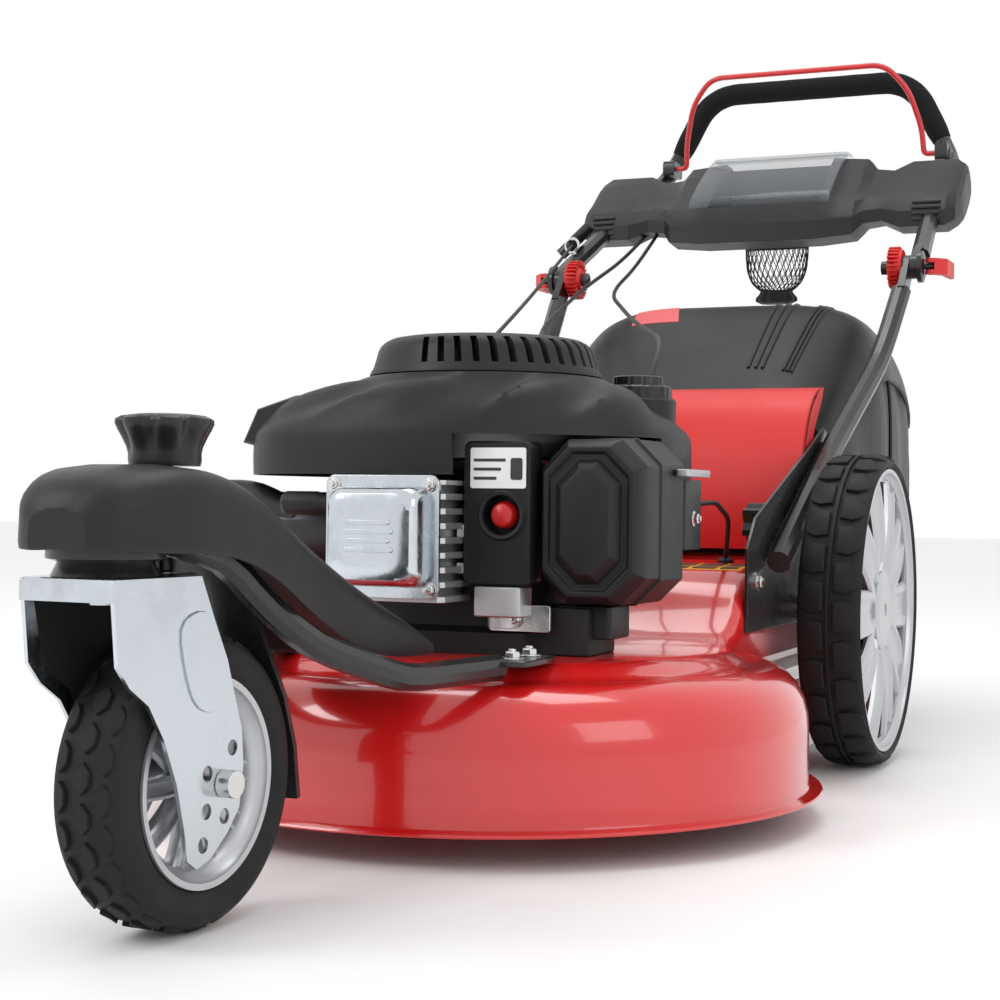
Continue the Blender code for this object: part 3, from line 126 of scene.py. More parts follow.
def surface(name, colour, metal=0.0, rough=0.4, grain=900.0, bump=0.08, spread=0.12, tint=0.1, coat=0.0,
            blotch=14.0, wear=0.0, wear_colour=(0.5, 0.5, 0.5), spec=0.5):
    """Material with fine grain, cloudy roughness, slight colour change and rubbed edges."""
    m, nt, b = nodes_of(name)
    n, link = nt.nodes, nt.links
    co = put(n, "TexCoord")
    fine = put(n, "TexNoise", Scale=grain, Detail=3.0)
    cloud = put(n, "TexNoise", Scale=blotch, Detail=5.0, Roughness=0.65)
    for t in (fine, cloud):
        link.new(co.outputs["Object"], t.inputs["Vector"])
    bm = put(n, "Bump", Strength=bump, Distance=GRAIN_DEPTH)
    link.new(fine.outputs["Fac"], bm.inputs["Height"])
    link.new(bm.outputs["Normal"], b.inputs["Normal"])
    rr = put(n, "MapRange", From_Min=0.3, From_Max=0.7, To_Min=max(rough - spread, 0.03),
             To_Max=min(rough + spread, 1.0))
    link.new(cloud.outputs["Fac"], rr.inputs["Value"])
    link.new(rr.outputs["Result"], b.inputs["Roughness"])
    mix = put(n, "Mix", "RGBA", A=tinted(colour, 1 - tint), B=tinted(colour, 1 + tint))
    link.new(cloud.outputs["Fac"], mix.inputs["Factor"])
    last = mix.outputs["Result"]
    if wear > 0:
        geo = put(n, "NewGeometry")
        edge = put(n, "MapRange", From_Min=0.53, From_Max=0.6, To_Max=wear)
        link.new(geo.outputs["Pointiness"], edge.inputs["Value"])
        times = put(n, "Math")
        times.operation = "MULTIPLY"
        link.new(edge.outputs["Result"], times.inputs[0])
        link.new(cloud.outputs["Fac"], times.inputs[1])
        rub = put(n, "Mix", "RGBA", B=(*wear_colour, 1))
        link.new(times.outputs["Value"], rub.inputs["Factor"])
        link.new(last, rub.inputs["A"])
        last = rub.outputs["Result"]
    link.new(last, b.inputs["Base Color"])
    for key, value in (("Metallic", metal), ("Coat Weight", coat), ("Coat Roughness", COAT_ROUGH),
                       ("Specular IOR Level", spec)):
        b.inputs[key].default_value = value
    return m


RED = surface("red_enamel", (0.6, 0.01, 0.01), 0.0, 0.22, 500, 0.012, 0.05, 0.05, coat=0.9, wear=0.25,
              wear_colour=(0.25, 0.01, 0.01))
RED_PLASTIC = surface("red_moulded", (0.6, 0.014, 0.012), 0.0, 0.45, 1600, 0.05, 0.06, 0.05)
RED_WIRE = surface("red_coated_wire", (0.55, 0.018, 0.02), 0.0, 0.33, 800, 0.03, 0.06, 0.06, coat=0.3)
BLACK = surface("black_grained_plastic", (0.01, 0.0105, 0.0115), 0.0, 0.42, 1500, 0.16, 0.07, 0.16, wear=0.25,
                wear_colour=(0.05, 0.05, 0.052), spec=0.3)
HOOD = surface("hood_plastic", (0.012, 0.0125, 0.014), 0.0, 0.45, 1300, 0.2, 0.08, 0.14, wear=0.3,
               wear_colour=(0.06, 0.06, 0.062), spec=0.3)
GLOSS_BLACK = surface("knob_plastic", (0.012, 0.012, 0.013), 0.0, 0.3, 900, 0.05, 0.07, 0.15, spec=0.42)
TUBE = surface("black_powder_coat", (0.012, 0.012, 0.013), 0.0, 0.28, 1100, 0.07, 0.06, 0.15, coat=0.25, wear=0.2,
               wear_colour=(0.14, 0.14, 0.14), spec=0.42)
CAST_BLACK = surface("black_cast", (0.018, 0.018, 0.019), 0.2, 0.5, 600, 0.35, 0.1, 0.2, spec=0.3)
ZINC = surface("bright_zinc", (0.58, 0.62, 0.66), 1.0, 0.2, 260, 0.1, 0.12, 0.16, blotch=38)
BOLT = surface("zinc_bolt", (0.66, 0.66, 0.65), 1.0, 0.22, 700, 0.05, 0.1, 0.1, blotch=60)
ALU = surface("cast_alloy", (0.52, 0.53, 0.54), 0.9, 0.45, 900, 0.3, 0.1, 0.12)
RIM = surface("silver_paint", (0.5, 0.51, 0.53), 0.75, 0.34, 1500, 0.06, 0.08, 0.06, coat=0.25)
TYRE = surface("tyre_rubber", (0.011, 0.011, 0.0115), 0.0, 0.62, 900, 0.22, 0.12, 0.25, blotch=30, spec=0.26)
RUBBER = surface("cable_rubber", (0.014, 0.014, 0.015), 0.0, 0.5, 700, 0.06, 0.08, 0.2, spec=0.3)
FOAM = surface("foam_grip", (0.012, 0.012, 0.013), 0.0, 0.93, 1400, 0.7, 0.05, 0.25, spec=0.15)
PRIMER = surface("primer_rubber", (0.5, 0.012, 0.012), 0.0, 0.32, 600, 0.03, 0.05, 0.05)
STEEL = surface("black_steel", (0.05, 0.05, 0.055), 0.8, 0.4, 300, 0.1, 0.1, 0.2)
WHITE = surface("label_white", (0.78, 0.79, 0.8), 0.0, 0.35, 300, 0.01, 0.04, 0.03)
YELLOW = surface("label_yellow", (0.86, 0.47, 0.02), 0.0, 0.35, 300, 0.01, 0.04, 0.03)
INK = surface("label_ink", (0.03, 0.03, 0.035), 0.0, 0.4, 300, 0.01, 0.04, 0.05)
DARK = surface("deep_shade", (0.004, 0.004, 0.004), 0.0, 0.8, 400, 0.05, 0.05, 0.1)
PATCH = surface("bag_patch", (0.66, 0.1, 0.11), 0.0, 0.5, 700, 0.05, 0.06, 0.05)


def clear_plastic():
    m, nt, b = nodes_of("clear_lid_plastic")
    n, link = nt.nodes, nt.links
    co = put(n, "TexCoord")
    cloud = put(n, "TexNoise", Scale=40.0)
    link.new(co.outputs["Object"], cloud.inputs["Vector"])
    rr = put(n, "MapRange", To_Min=0.05, To_Max=0.16)
    link.new(cloud.outputs["Fac"], rr.inputs["Value"])
    link.new(rr.outputs["Result"], b.inputs["Roughness"])
    layer = put(n, "LayerWeight", Blend=0.35)
    ar = put(n, "MapRange", To_Min=0.1, To_Max=0.55)
    link.new(layer.outputs["Facing"], ar.inputs["Value"])
    link.new(ar.outputs["Result"], b.inputs["Alpha"])
    b.inputs["Base Color"].default_value = (0.16, 0.18, 0.2, 1)
    b.inputs["Specular IOR Level"].default_value = 0.9
    return m


def woven(name, colour, scale=900.0, rough=0.85):
    """Plain weave made from two crossed sets of threads."""
    m, nt, b = nodes_of(name)
    n, link = nt.nodes, nt.links
    co = put(n, "TexCoord")
    waves = []
    for axis in ("X", "Z"):
        w = put(n, "TexWave", Scale=scale / THREADS, Distortion=0.6)
        w.wave_type = "BANDS"
        w.bands_direction = axis
        link.new(co.outputs["Object"], w.inputs["Vector"])
        waves.append(w)
    mul = put(n, "Math")
    mul.operation = "MAXIMUM"
    for w, socket in zip(waves, mul.inputs):
        link.new(w.outputs["Fac"], socket)
    cloud = put(n, "TexNoise", Scale=11.0, Detail=6.0)
    link.new(co.outputs["Object"], cloud.inputs["Vector"])
    bm = put(n, "Bump", Strength=0.35, Distance=GRAIN_DEPTH)
    link.new(mul.outputs["Value"], bm.inputs["Height"])
    link.new(bm.outputs["Normal"], b.inputs["Normal"])
    ramp = put(n, "Mix", "RGBA", A=tinted(colour, 0.7), B=tinted(colour, 1.35))
    link.new(cloud.outputs["Fac"], ramp.inputs["Factor"])
    link.new(ramp.outputs["Result"], b.inputs["Base Color"])
    b.inputs["Roughness"].default_value = rough
    b.inputs["Sheen Weight"].default_value = 0.25
    return m


CLEAR = clear_plastic()
CLOTH = woven("bag_cloth", (0.02, 0.02, 0.022))
NET = woven("net_cord", (0.014, 0.014, 0.015), 1500)

# ---------------------------------------------------------------- mesh tools
AXES = {"x": ((0, 1, 0), (0, 0, 1), (1, 0, 0)), "y": ((0, 0, 1), (1, 0, 0), (0, 1, 0)), "z": ((1, 0, 0),
    (0, 1, 0), (0, 0, 1))}


def place(axis, a, b, h):
    u, v, w = (Vector(c) for c in AXES[axis])
    return u * a + v * b + w * h


def rounded(x0, x1, y0, y1, r, n=6):
    pts = []
    for cx, cy, t0 in ((x1 - r, y1 - r, 0), (x0 + r, y1 - r, 90), (x0 + r, y0 + r, 180), (x1 - r, y0 + r, 270)):
        for k in range(n + 1):
            t = math.radians(t0 + 90 * k / n)
            pts.append((cx + r * math.cos(t), cy + r * math.sin(t)))
    return pts


def fillet(points, radius, n=8):
    pts = [Vector(p) for p in points]
    out = [pts[0]]
    for a, b, c in zip(pts, pts[1:], pts[2:]):
        d = min(radius, (a - b).length * 0.48, (c - b).length * 0.48)
        p = b + (a - b).normalized() * d
        q = b + (c - b).normalized() * d
        for k in range(n + 1):
            t = k / n
            out.append(p * (1 - t) ** 2 + b * 2 * t * (1 - t) + q * t ** 2)
    out.append(pts[-1])
    return out


def spline(rows, n=6, closed=False):
    """Catmull-Rom through rows of numbers, n steps for each gap."""
    out = []
    count = len(rows)
    for i in range(count if closed else count - 1):
        if closed:
            q = [rows[(i + k - 1) % count] for k in range(4)]
        else:
            q = [rows[max(i - 1, 0)], rows[i], rows[i + 1], rows[min(i + 2, count - 1)]]
        for k in range(n):
            t = k / n
            out.append(tuple(0.5 * (2 * b + (c - a) * t + (2 * a - 5 * b + 4 * c - d) * t * t
                                    + (3 * b - a - 3 * c + d) * t ** 3)
                             for a, b, c, d in zip(*q)))
    if not closed:
        out.append(tuple(rows[-1]))
    return out


def smooth(t):
    t = max(0.0, min(1.0, t))
    return t * t * (3 - 2 * t)


class Shape:
    """Collects closed pieces of mesh into one object, each with its own material."""

    def __init__(self, mat):
        self.v, self.f, self.m = [], [], []
        self.mats = [mat]
        self.now = 0

    def use(self, mat):
        if mat not in self.mats:
            self.mats.append(mat)
        self.now = self.mats.index(mat)
        return self

    def add(self, verts, faces):
        base = len(self.v)
        self.v += [Vector(p) for p in verts]
        self.f += [tuple(i + base for i in f) for f in faces]
        self.m += [self.now] * len(faces)
        return self

    def loft(self, rings, closed=False, caps=True):
        n = len(rings[0])
        faces = []
        for i in range(len(rings) if closed else len(rings) - 1):
            a, b = i * n, ((i + 1) % len(rings)) * n
            faces += [(a + k, a + (k + 1) % n, b + (k + 1) % n, b + k) for k in range(n)]
        if caps and not closed:
            last = (len(rings) - 1) * n
            faces += [tuple(range(n - 1, -1, -1)), tuple(range(last, last + n))]
        return self.add([p for r in rings for p in r], faces)

    def turned(self, profile, axis="z", at=(0, 0, 0), seg=48, ring=False, span=None):
        """Turned body. A ring profile is a closed loop; span limits the turn to (start, end) degrees."""
        at = Vector(at)
        a0, a1 = (math.radians(s) for s in (span or (0, 360)))
        count = seg if span is None else seg + 1
        rings = []
        for k in range(count):
            t = a0 + (a1 - a0) * k / seg
            rings.append([at + place(axis, max(r, THIN) * math.cos(t), max(r, THIN) * math.sin(t), h) for r,
                          h in profile])
        if ring or span:
            return self.loft(rings, closed=span is None)
        return self.skin(rings)

    def skin(self, rings):
        """Surface round an axis through copies of one open profile."""
        n, count = len(rings[0]), len(rings)
        faces = []
        for i in range(count):
            a, b = i * n, ((i + 1) % count) * n
            faces += [(a + k, a + k + 1, b + k + 1, b + k) for k in range(n - 1)]
        return self.add([p for r in rings for p in r], faces)

    def fluted(self, profile, x, y, radius, seg=96):
        """Body turned about z whose radius(r, z, angle) changes round the turn."""
        rings = []
        for k in range(seg):
            a = math.tau * k / seg
            reach = [(max(radius(r, z, a), THIN), z) for r, z in profile]
            rings.append([Vector((x + r * math.cos(a), y + r * math.sin(a), z)) for r, z in reach])
        return self.skin(rings)

    def prism(self, outline, lo, hi, axis="x", soft=0.0):
        """Outline run along an axis, its ends drawn in by soft."""
        n = len(outline)
        ca, cb = sum(p[0] for p in outline) / n, sum(p[1] for p in outline) / n
        size = max(math.hypot(p[0] - ca, p[1] - cb) for p in outline)
        k = 1 - soft / size
        rings = []
        for h, s in ((lo, k), (lo + soft, 1.0), (hi - soft, 1.0), (hi, k)) if soft else ((lo, 1.0), (hi, 1.0)):
            rings.append([place(axis, ca + (a - ca) * s, cb + (b - cb) * s, h) for a, b in outline])
        return self.loft(rings)

    def block(self, x, y, z, axis="z", r=0.003, soft=0.001, n=4):
        lim = {"x": (y, z, x), "y": (z, x, y), "z": (x, y, z)}[axis]
        return self.prism(rounded(*lim[0], *lim[1], r, n), *lim[2], axis, soft)

    def sweep(self, path, radius, sides=16, flat=None):
        path = [Vector(p) for p in path]
        rings, up = [], None
        for i, p in enumerate(path):
            t = (path[min(i + 1, len(path) - 1)] - path[max(i - 1, 0)]).normalized()
            if up is None:
                up = t.cross(Vector((1, 0, 0)))
                if up.length < 0.2:
                    up = t.cross(Vector((0, 1, 0)))
            up = (up - t * up.dot(t)).normalized()
            side = t.cross(up)
            r = radius[i] if isinstance(radius, list) else radius
            ra, rb = r if isinstance(r, tuple) else (r, r)
            rings.append([p + side * (ra * math.cos(w)) + up * (rb * math.sin(w))
                          for w in (math.tau * k / sides for k in range(sides))])
        return self.loft(rings)

    def bolt(self, at, axis="z", r=0.006, h=0.005, sign=1, washer=1.5):
        """Hexagon head on a washer face, its head standing along the axis."""
        mat = self.now
        self.use(BOLT)
        self.turned([(0, 0), (r * washer, 0), (r * washer, sign * 0.001), (r * 1.05, sign * 0.0013), (0,
            sign * 0.0013)], axis, at, 28)
        at = Vector(at)
        rings = []
        for k, s in ((0.0012, 1.0), (h * 0.85, 1.0), (h, 0.86)):
            rings.append([at + place(axis, r * s * math.cos(q), r * s * math.sin(q), sign * k)
                          for q in (math.pi * i / 3 for i in range(6))])
        self.loft(rings)
        self.turned([(0, 0), (r * 0.5, 0), (r * 0.5, sign * (h + 0.0018)), (0, sign * (h + 0.0022))], axis, at, 14)
        self.now = mat
        return self

    def done(self, name, body, slot, replaces=(), bevel=0.0, angle=38.0, turn=None, blend=None, weld=True):
        me = bpy.data.meshes.new(name)
        m = Matrix.Translation((0, SHIFT, 0)) @ (turn or Matrix.Identity(4))
        me.from_pydata([m @ p for p in self.v], [], self.f)
        for mat in self.mats:
            me.materials.append(mat)
        me.polygons.foreach_set("material_index", self.m)
        bm = bmesh.new()
        bm.from_mesh(me)
        if weld:
            bmesh.ops.remove_doubles(bm, verts=bm.verts, dist=0.000012)
        bmesh.ops.recalc_face_normals(bm, faces=bm.faces)
        bm.to_mesh(me)
        bm.free()
        return finish_mesh(name, me, body, replaces, bevel, angle, blend)


def finish_mesh(name, me, body, replaces=(), bevel=0.0, angle=38.0, blend=None):
    me.polygons.foreach_set("use_smooth", [True] * len(me.polygons))
    me.set_sharp_from_angle(angle=math.radians(angle))
    ob = bpy.data.objects.new(name, me)
    bpy.context.scene.collection.objects.link(ob)
    if bevel:
        mod = ob.modifiers.new("edge", "BEVEL")
        mod.width = bevel
        mod.segments = 2
        mod.limit_method = "ANGLE"
        mod.angle_limit = math.radians(angle)
        mod.use_clamp_overlap = True
        mod.harden_normals = True
    if blend:
        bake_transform(ob, body, *blend)
    else:
        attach(ob, body)
    if replaces:
        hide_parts(*replaces)
    return ob


def refine(node, mat, bevel=0.0008, angle=30.0, extra=None):
    """Copy of a CAD node with welded corners, softened edges and its own material."""
    src = frame["nodes"][node]
    me = src.data.copy()
    me.name = node + "_look"
    for a in [a.name for a in me.attributes if "custom_normal" in a.name]:
        me.attributes.remove(me.attributes[a])
    me.materials.clear()
    me.materials.append(mat)
    bm = bmesh.new()
    bm.from_mesh(me)
    bmesh.ops.remove_doubles(bm, verts=bm.verts, dist=0.00002)
    bmesh.ops.dissolve_limit(bm, angle_limit=0.01, verts=bm.verts, edges=bm.edges)
    for f in bm.faces:
        f.material_index = 0
    if extra:
        base = len(me.materials)
        for x in extra.mats:
            me.materials.append(x)
        vs = [bm.verts.new((p.x, p.y + SHIFT, p.z)) for p in extra.v]
        for f, mi in zip(extra.f, extra.m):
            bm.faces.new([vs[i] for i in f]).material_index = base + mi
    bmesh.ops.recalc_face_normals(bm, faces=bm.faces)
    bm.to_mesh(me)
    bm.free()
    return finish_mesh(node + "_look", me, src["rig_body"], (node,), bevel, angle)


def boolean(target, other, operation):
    mod = target.modifiers.new("b", "BOOLEAN")
    mod.operation = operation
    mod.solver = "EXACT"
    mod.object = other
    me = bpy.data.meshes.new_from_object(target.evaluated_get(bpy.context.evaluated_depsgraph_get()))
    target.modifiers.clear()
    target.data = me
    bpy.data.objects.remove(other)


def plain(shape, name="tool"):
    me = bpy.data.meshes.new(name)
    me.from_pydata([Vector((p.x, p.y + SHIFT, p.z)) for p in shape.v], [], shape.f)
    bm = bmesh.new()
    bm.from_mesh(me)
    bmesh.ops.remove_doubles(bm, verts=bm.verts, dist=0.00001)
    bmesh.ops.recalc_face_normals(bm, faces=bm.faces)
    bm.to_mesh(me)
    bm.free()
    ob = bpy.data.objects.new(name, me)
    bpy.context.scene.collection.objects.link(ob)
    return ob


def drill(target, r, lo, hi, axis, at, seg, operation="DIFFERENCE"):
    """Cut a round hole of radius r from lo to hi along an axis."""
    boolean(target, plain(Shape(DARK).turned([(0, lo), (r, lo), (r, hi), (0, hi)], axis, at, seg)), operation)


def notch(target, x, y, z, axis, r):
    boolean(target, plain(Shape(DARK).block(x, y, z, axis, r, 0.0)), "DIFFERENCE")


def either(s, a, b):
    """Interval a to b on one side of the machine, in rising order."""
    return sorted((s * a, s * b))


# ---------------------------------------------------------------- plain pieces kept from the frame's shapes
SMOOTH_NODES = {
    "handle_bracket_left": (TUBE, "black_paint"), "handle_bracket_right": (TUBE, "black_paint"),
    "axle_stub_left": (BOLT, "zinc"), "axle_stub_right": (BOLT, "zinc"),
    "front_frame": (TUBE, "black_paint"), "crankcase": (CAST_BLACK, "black_paint"),
    "cylinder_head": (ALU, "aluminium"), "flywheel": (ALU, "aluminium"), "crankshaft": (ZINC, "zinc"),
    "blade": (STEEL, "dark_steel"), "blade_bolt": (STEEL, "dark_steel"), "muffler": (STEEL, "dark_steel"),
    "kingpin": (BOLT, "zinc"), "caster_axle": (BOLT, "zinc"), "carburettor": (ALU, "aluminium"),
    "fuel_tank": (BLACK, "black_plastic"), "oil_filler_cap": (GLOSS_BLACK, "black_plastic"),
    "spark_plug_boot": (RUBBER, "rubber"), "primer_bulb": (PRIMER, "primer_rubber"),
    "clamp_bolt_left": (TUBE, "black_paint"), "clamp_bolt_right": (TUBE, "black_paint"),
    "cam_lever_left": (RED_PLASTIC, "red_plastic"), "cam_lever_right": (RED_PLASTIC, "red_plastic"),
    "clamp_seat_left": (RED_PLASTIC, "red_plastic"), "clamp_seat_right": (RED_PLASTIC, "red_plastic"),
    "star_knob_left": (GLOSS_BLACK, "black_plastic"), "star_knob_right": (GLOSS_BLACK, "black_plastic"),
    "starter_grip": (GLOSS_BLACK, "black_plastic"), "rope_guide": (BOLT, "zinc"),
    "lower_handle_left": (TUBE, "black_paint"), "lower_handle_right": (TUBE, "black_paint"),
    "upper_handle": (TUBE, "black_paint"),
}
for node, (mat, slot_name) in SMOOTH_NODES.items():
    refine(node, mat, 0.0006)


def wheel_point(origin, x, angle, r):
    """Point at a radius and angle round a wheel's axle; angle 0 is straight down."""
    return Vector((origin[0] + x, origin[1] + r * math.sin(angle), origin[2] - r * math.cos(angle)))


def tread_lobe(shape, origin, lobe, mid, angle, radius, levels, shoulder):
    """Rounded block of tread drawn in about its middle, by (radius, scale) levels."""
    shape.loft([[wheel_point(origin, mid + (x - mid) * q, angle + y * q / radius, r - shoulder(abs(x)))
                 for x, y in lobe] for r, q in levels])


def wheel_parts(prefix, origin, width, radius, bead, rim_face, spokes, body, rim_node, tyre_node, turn, caster):
    hw = width / 2
    t = Shape(TYRE)
    base = radius - (0.0048 if not caster else 0.0034)
    sh = radius - bead
    prof = [(bead, -hw * 0.8), (bead + sh * 0.15, -hw * 0.93), (bead + sh * 0.42, -hw), (base - sh * 0.22,
        -hw * 0.97),
            (base - sh * 0.06, -hw * 0.86), (base, -hw * 0.7), (base + 0.0006, 0), (base, hw * 0.7),
            (base - sh * 0.06, hw * 0.86), (base - sh * 0.22, hw * 0.97), (bead + sh * 0.42, hw),
            (bead + sh * 0.15, hw * 0.93),
            (bead, hw * 0.8)]
    t.turned(prof, "x", origin, 96, ring=True)
    if not caster:
        count = REAR_LUGS
        half_a = math.pi * radius / count * 0.8
        for k in range(count):
            for s in (-1, 1):
                lobe = [(s * hw * 0.16, -half_a * 0.86), (s * hw * 0.55, -half_a), (s * hw * 0.82, -half_a * 0.72),
                        (s * hw * 0.93, -half_a * 0.28), (s * hw * 0.93, half_a * 0.28), (s * hw * 0.82,
                            half_a * 0.72),
                        (s * hw * 0.55, half_a), (s * hw * 0.16, half_a * 0.86)]
                a = math.tau * (k + (0.5 if s > 0 else 0)) / count
                tread_lobe(t, origin, lobe, s * hw * 0.52, a, radius,
                           ((base - 0.004, 1.03), (radius - 0.0012, 1.0), (radius - 0.0004, 0.9)),
                           lambda x: 0.0042 if x > hw * 0.9 else 0.0016 if x > hw * 0.8 else 0)
        t.turned([(base - 0.002, -hw * 0.055), (radius - 0.0008, -hw * 0.045), (radius - 0.0008, hw * 0.045),
                  (base - 0.002, hw * 0.055)],
                 "x", origin, 96, ring=True)
    else:
        count = CASTER_LUGS
        for k in range(count):
            for row, w, off in ((-0.6, 0.3, 0.0), (0.0, 0.42, 0.5), (0.6, 0.3, 0.0)):
                a = math.tau * (k + off) / count
                ha = math.pi * radius / count * 0.8
                lobe = [(row * hw - w * hw * 0.5, -ha * 0.45), (row * hw, -ha), (row * hw + w * hw * 0.5,
                    -ha * 0.45),
                        (row * hw + w * hw * 0.5, ha * 0.45), (row * hw, ha), (row * hw - w * hw * 0.5, ha * 0.45)]
                tread_lobe(t, origin, lobe, row * hw, a, radius,
                           ((base - 0.003, 1.03), (radius - 0.001, 1.0), (radius - 0.0003, 0.9)),
                           lambda x: 0.0022 if x > hw * 0.7 else 0)
    t.done(prefix + "_tyre_look", body, "tyre", (tyre_node,), 0.0, 40, turn)
    r = Shape(RIM)
    th = 0.0026
    b = bead
    face = hw - rim_face
    barrel = [(b + 0.0006, hw * 0.93), (b + 0.001, hw * 0.86), (b - 0.0006, hw * 0.78), (b - 0.006, hw * 0.7),
              (b - 0.01, face + 0.002),
              (b - 0.012, 0), (b - 0.01, -hw * 0.6), (b - 0.0006, -hw * 0.8), (b - 0.0006 - th, -hw * 0.8),
              (b - 0.01 - th, -hw * 0.6), (b - 0.012 - th, 0), (b - 0.01 - th, face), (b - 0.006 - th, hw * 0.68),
              (b - 0.002 - th, hw * 0.8),
              (b - 0.001 - th, hw * 0.92)]
    r.turned(barrel, "x", origin, 96, ring=True)
    hub = b * 0.24
    bore = 0.0068 if not caster else 0.0058
    r.turned([(bore, -hw * 0.7), (hub * 0.8, -hw * 0.7), (hub * 0.9, face * 0.3), (hub * 1.18, face - 0.004),
              (hub * 1.18, face + 0.002),
              (hub, face + 0.004), (hub * 0.8, face + 0.0045), (bore, face + 0.0045)], "x", origin, 48, ring=True)
    outer = b - 0.009
    n = spokes
    for k in range(n):
        a = math.tau * (k + 0.5) / n
        wide_in, wide_out = hub * 0.62, outer * math.pi / n * (0.6 if not caster else 0.5)
        rings = []
        for i in range(9):
            s = i / 8
            rad = hub * 0.95 + (outer + 0.002 - hub * 0.95) * s
            w = (wide_in + (wide_out - wide_in) * smooth(s) if not caster
                 else wide_in * 0.8 + (wide_out * 0.8 - wide_in * 0.8) * smooth(s))
            dome = math.sin(math.pi * min(s * 0.9 + 0.05, 1)) * (0.005 if not caster else 0.003)
            x0 = face - 0.004
            ring = []
            for u, dx in ((-1, 0), (-0.9, 0.0035), (-0.62, 0.0045), (-0.45, 0.0015), (0, 0.0006), (0.45, 0.0015),
                          (0.62, 0.0045), (0.9, 0.0035), (1, 0),
                          (0.9, -0.004), (-0.9, -0.004)):
                ang = a + u * w / rad
                ring.append(wheel_point(origin, x0 + dome + dx, ang, rad))
            rings.append(ring)
        r.loft(rings)
    r.done(prefix + "_rim_look", body, "silver_rim", (rim_node,), 0.0, 35, turn)


REAR_MID = (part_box("rear_tyre_right")[0].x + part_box("rear_tyre_right")[1].x) / 2
for tag, sgn in (("right", 1), ("left", -1)):
    flip = Matrix.Identity(4) if sgn == 1 else Matrix.Rotation(math.pi, 4, "Z")
    wheel_parts("rear_" + tag, (REAR_MID, 0, WHEEL_R), WHEEL_W, WHEEL_R, WHEEL_BEAD, WHEEL_INSET, SPOKES,
                "wheel_" + tag, "rear_rim_" + tag, "rear_tyre_" + tag, flip, False)
PIVOT = Vector((0, YAW_Y, 0))
SWIVEL = Matrix.Translation(PIVOT) @ Matrix.Rotation(math.radians(YAW_DEG), 4, "Z") @ Matrix.Translation(-PIVOT)
wheel_parts("caster", (0, CASTER_Y, CASTER_R), CASTER_W, CASTER_R, CASTER_BEAD, CASTER_INSET, SPOKES,
            "caster_wheel", "caster_rim", "caster_tyre", SWIVEL, True)

# hub nuts
for tag, sgn in (("right", 1), ("left", -1)):
    nut = Shape(BOLT)
    nut.bolt((sgn * 0.265, 0, WHEEL_R), "x", 0.0095, 0.007, sgn, 1.35)
    nut.done("hub_nut_" + tag, "chassis", "zinc", bevel=0.0004)

# caster fork: pressed plate with embossed legs
extra = Shape(ZINC)
FORK_X = 0.0351
for s in (-1, 1):
    raised = [(-0.985, 0.195), (-0.975, 0.155), (-0.958, 0.142), (-0.945, 0.15), (-0.95, 0.18), (-0.962, 0.205)]
    extra.prism(spline(raised, 4, True), s * FORK_X - (0.0 if s > 0 else 0.0016),
                s * FORK_X + (0.0016 if s > 0 else 0.0), "x", 0.0004)
extra.v = [SWIVEL @ p for p in extra.v]
refine("caster_fork", ZINC, 0.0009, 28, extra)
inner = Shape(DARK)
patch = [(-1.04, 0.216), (-1.03, 0.172), (-1.008, 0.158), (-0.99, 0.125), (-0.978, 0.095), (-0.94, 0.085), (-0.93,
    0.12),
         (-0.945, 0.172), (-0.968, 0.216)]
inner.prism(patch, -FORK_X + 0.0028, -FORK_X + 0.0031, "x")
inner.done("fork_inner_shade", "caster", "zinc", turn=SWIVEL)

# lock knob with a scalloped cap
knob = Shape(GLOSS_BLACK)
stem = [(0, 0.2295), (0.0052, 0.2295), (0.0052, 0.295), (0.0225, 0.2955), (0.0232, 0.299), (0.0232, 0.3035),
        (0.0245, 0.308), (0.0275, 0.314),
        (0.03, 0.3185), (0.0318, 0.3225), (0.0315, 0.3252), (0.028, 0.3272), (0.018, 0.3284), (0, 0.329)]


def scalloped(r, z, a):
    lift = smooth((z - 0.299) / 0.018) if r > 0.02 else 0
    return r * (1 - 0.17 * lift * (0.5 - 0.5 * math.cos(7 * a)) ** 2.2)


knob.fluted(stem, 0, KINGPIN_Y, scalloped)
knob.done("lock_knob_look", "lock_knob", "black_plastic", ("caster_lock_knob",), 0.0, 50)

# ---------------------------------------------------------------- frame cover, smoother along its length
COVER = [(-1.062, 0.268, 0.2445, 0.02), (-1.056, 0.278, 0.2444, 0.03), (-1.044, 0.286, 0.244, 0.04), (-1.022,
    0.292, 0.2425, 0.05),
         (-0.99, 0.2945, 0.2415, 0.058), (-0.95, 0.289, 0.2365, 0.06), (-0.905, 0.274, 0.2225, 0.058), (-0.855,
             0.25, 0.199, 0.056),
         (-0.8, 0.226, 0.176, 0.056), (-0.745, 0.203, 0.162, 0.058), (-0.7, 0.183, 0.159, 0.06), (-0.672, 0.168,
             0.1585, 0.06)]
cover = Shape(HOOD)
rings = []
for y, top, low, half in spline(COVER, 7):
    wall = 0.003
    drop = top - low
    ch = min(drop * 0.4, 0.018)
    arch = [(-half, low), (-half - 0.0008, low + 0.004), (-half, low + drop - ch * 1.15)]
    for k in range(7):
        t = math.pi * (1 - 0.5 * k / 6)
        arch.append((-half + ch * 1.15 + ch * 1.15 * math.cos(t), top - ch + ch * math.sin(t) - 0.0006))
    arch.append((-half * 0.35, top + 0.001))
    arch += [(-x, z) for x, z in reversed(arch)]
    inner = [(x * (half - wall) / half, low + (z - low) * (drop - wall) / drop) for x, z in reversed(arch)]
    if not rings:
        nose = arch
    rings.append([Vector((x, y, z)) for x, z in arch] + [Vector((x, y, z)) for x, z in inner])
cover.loft(rings)
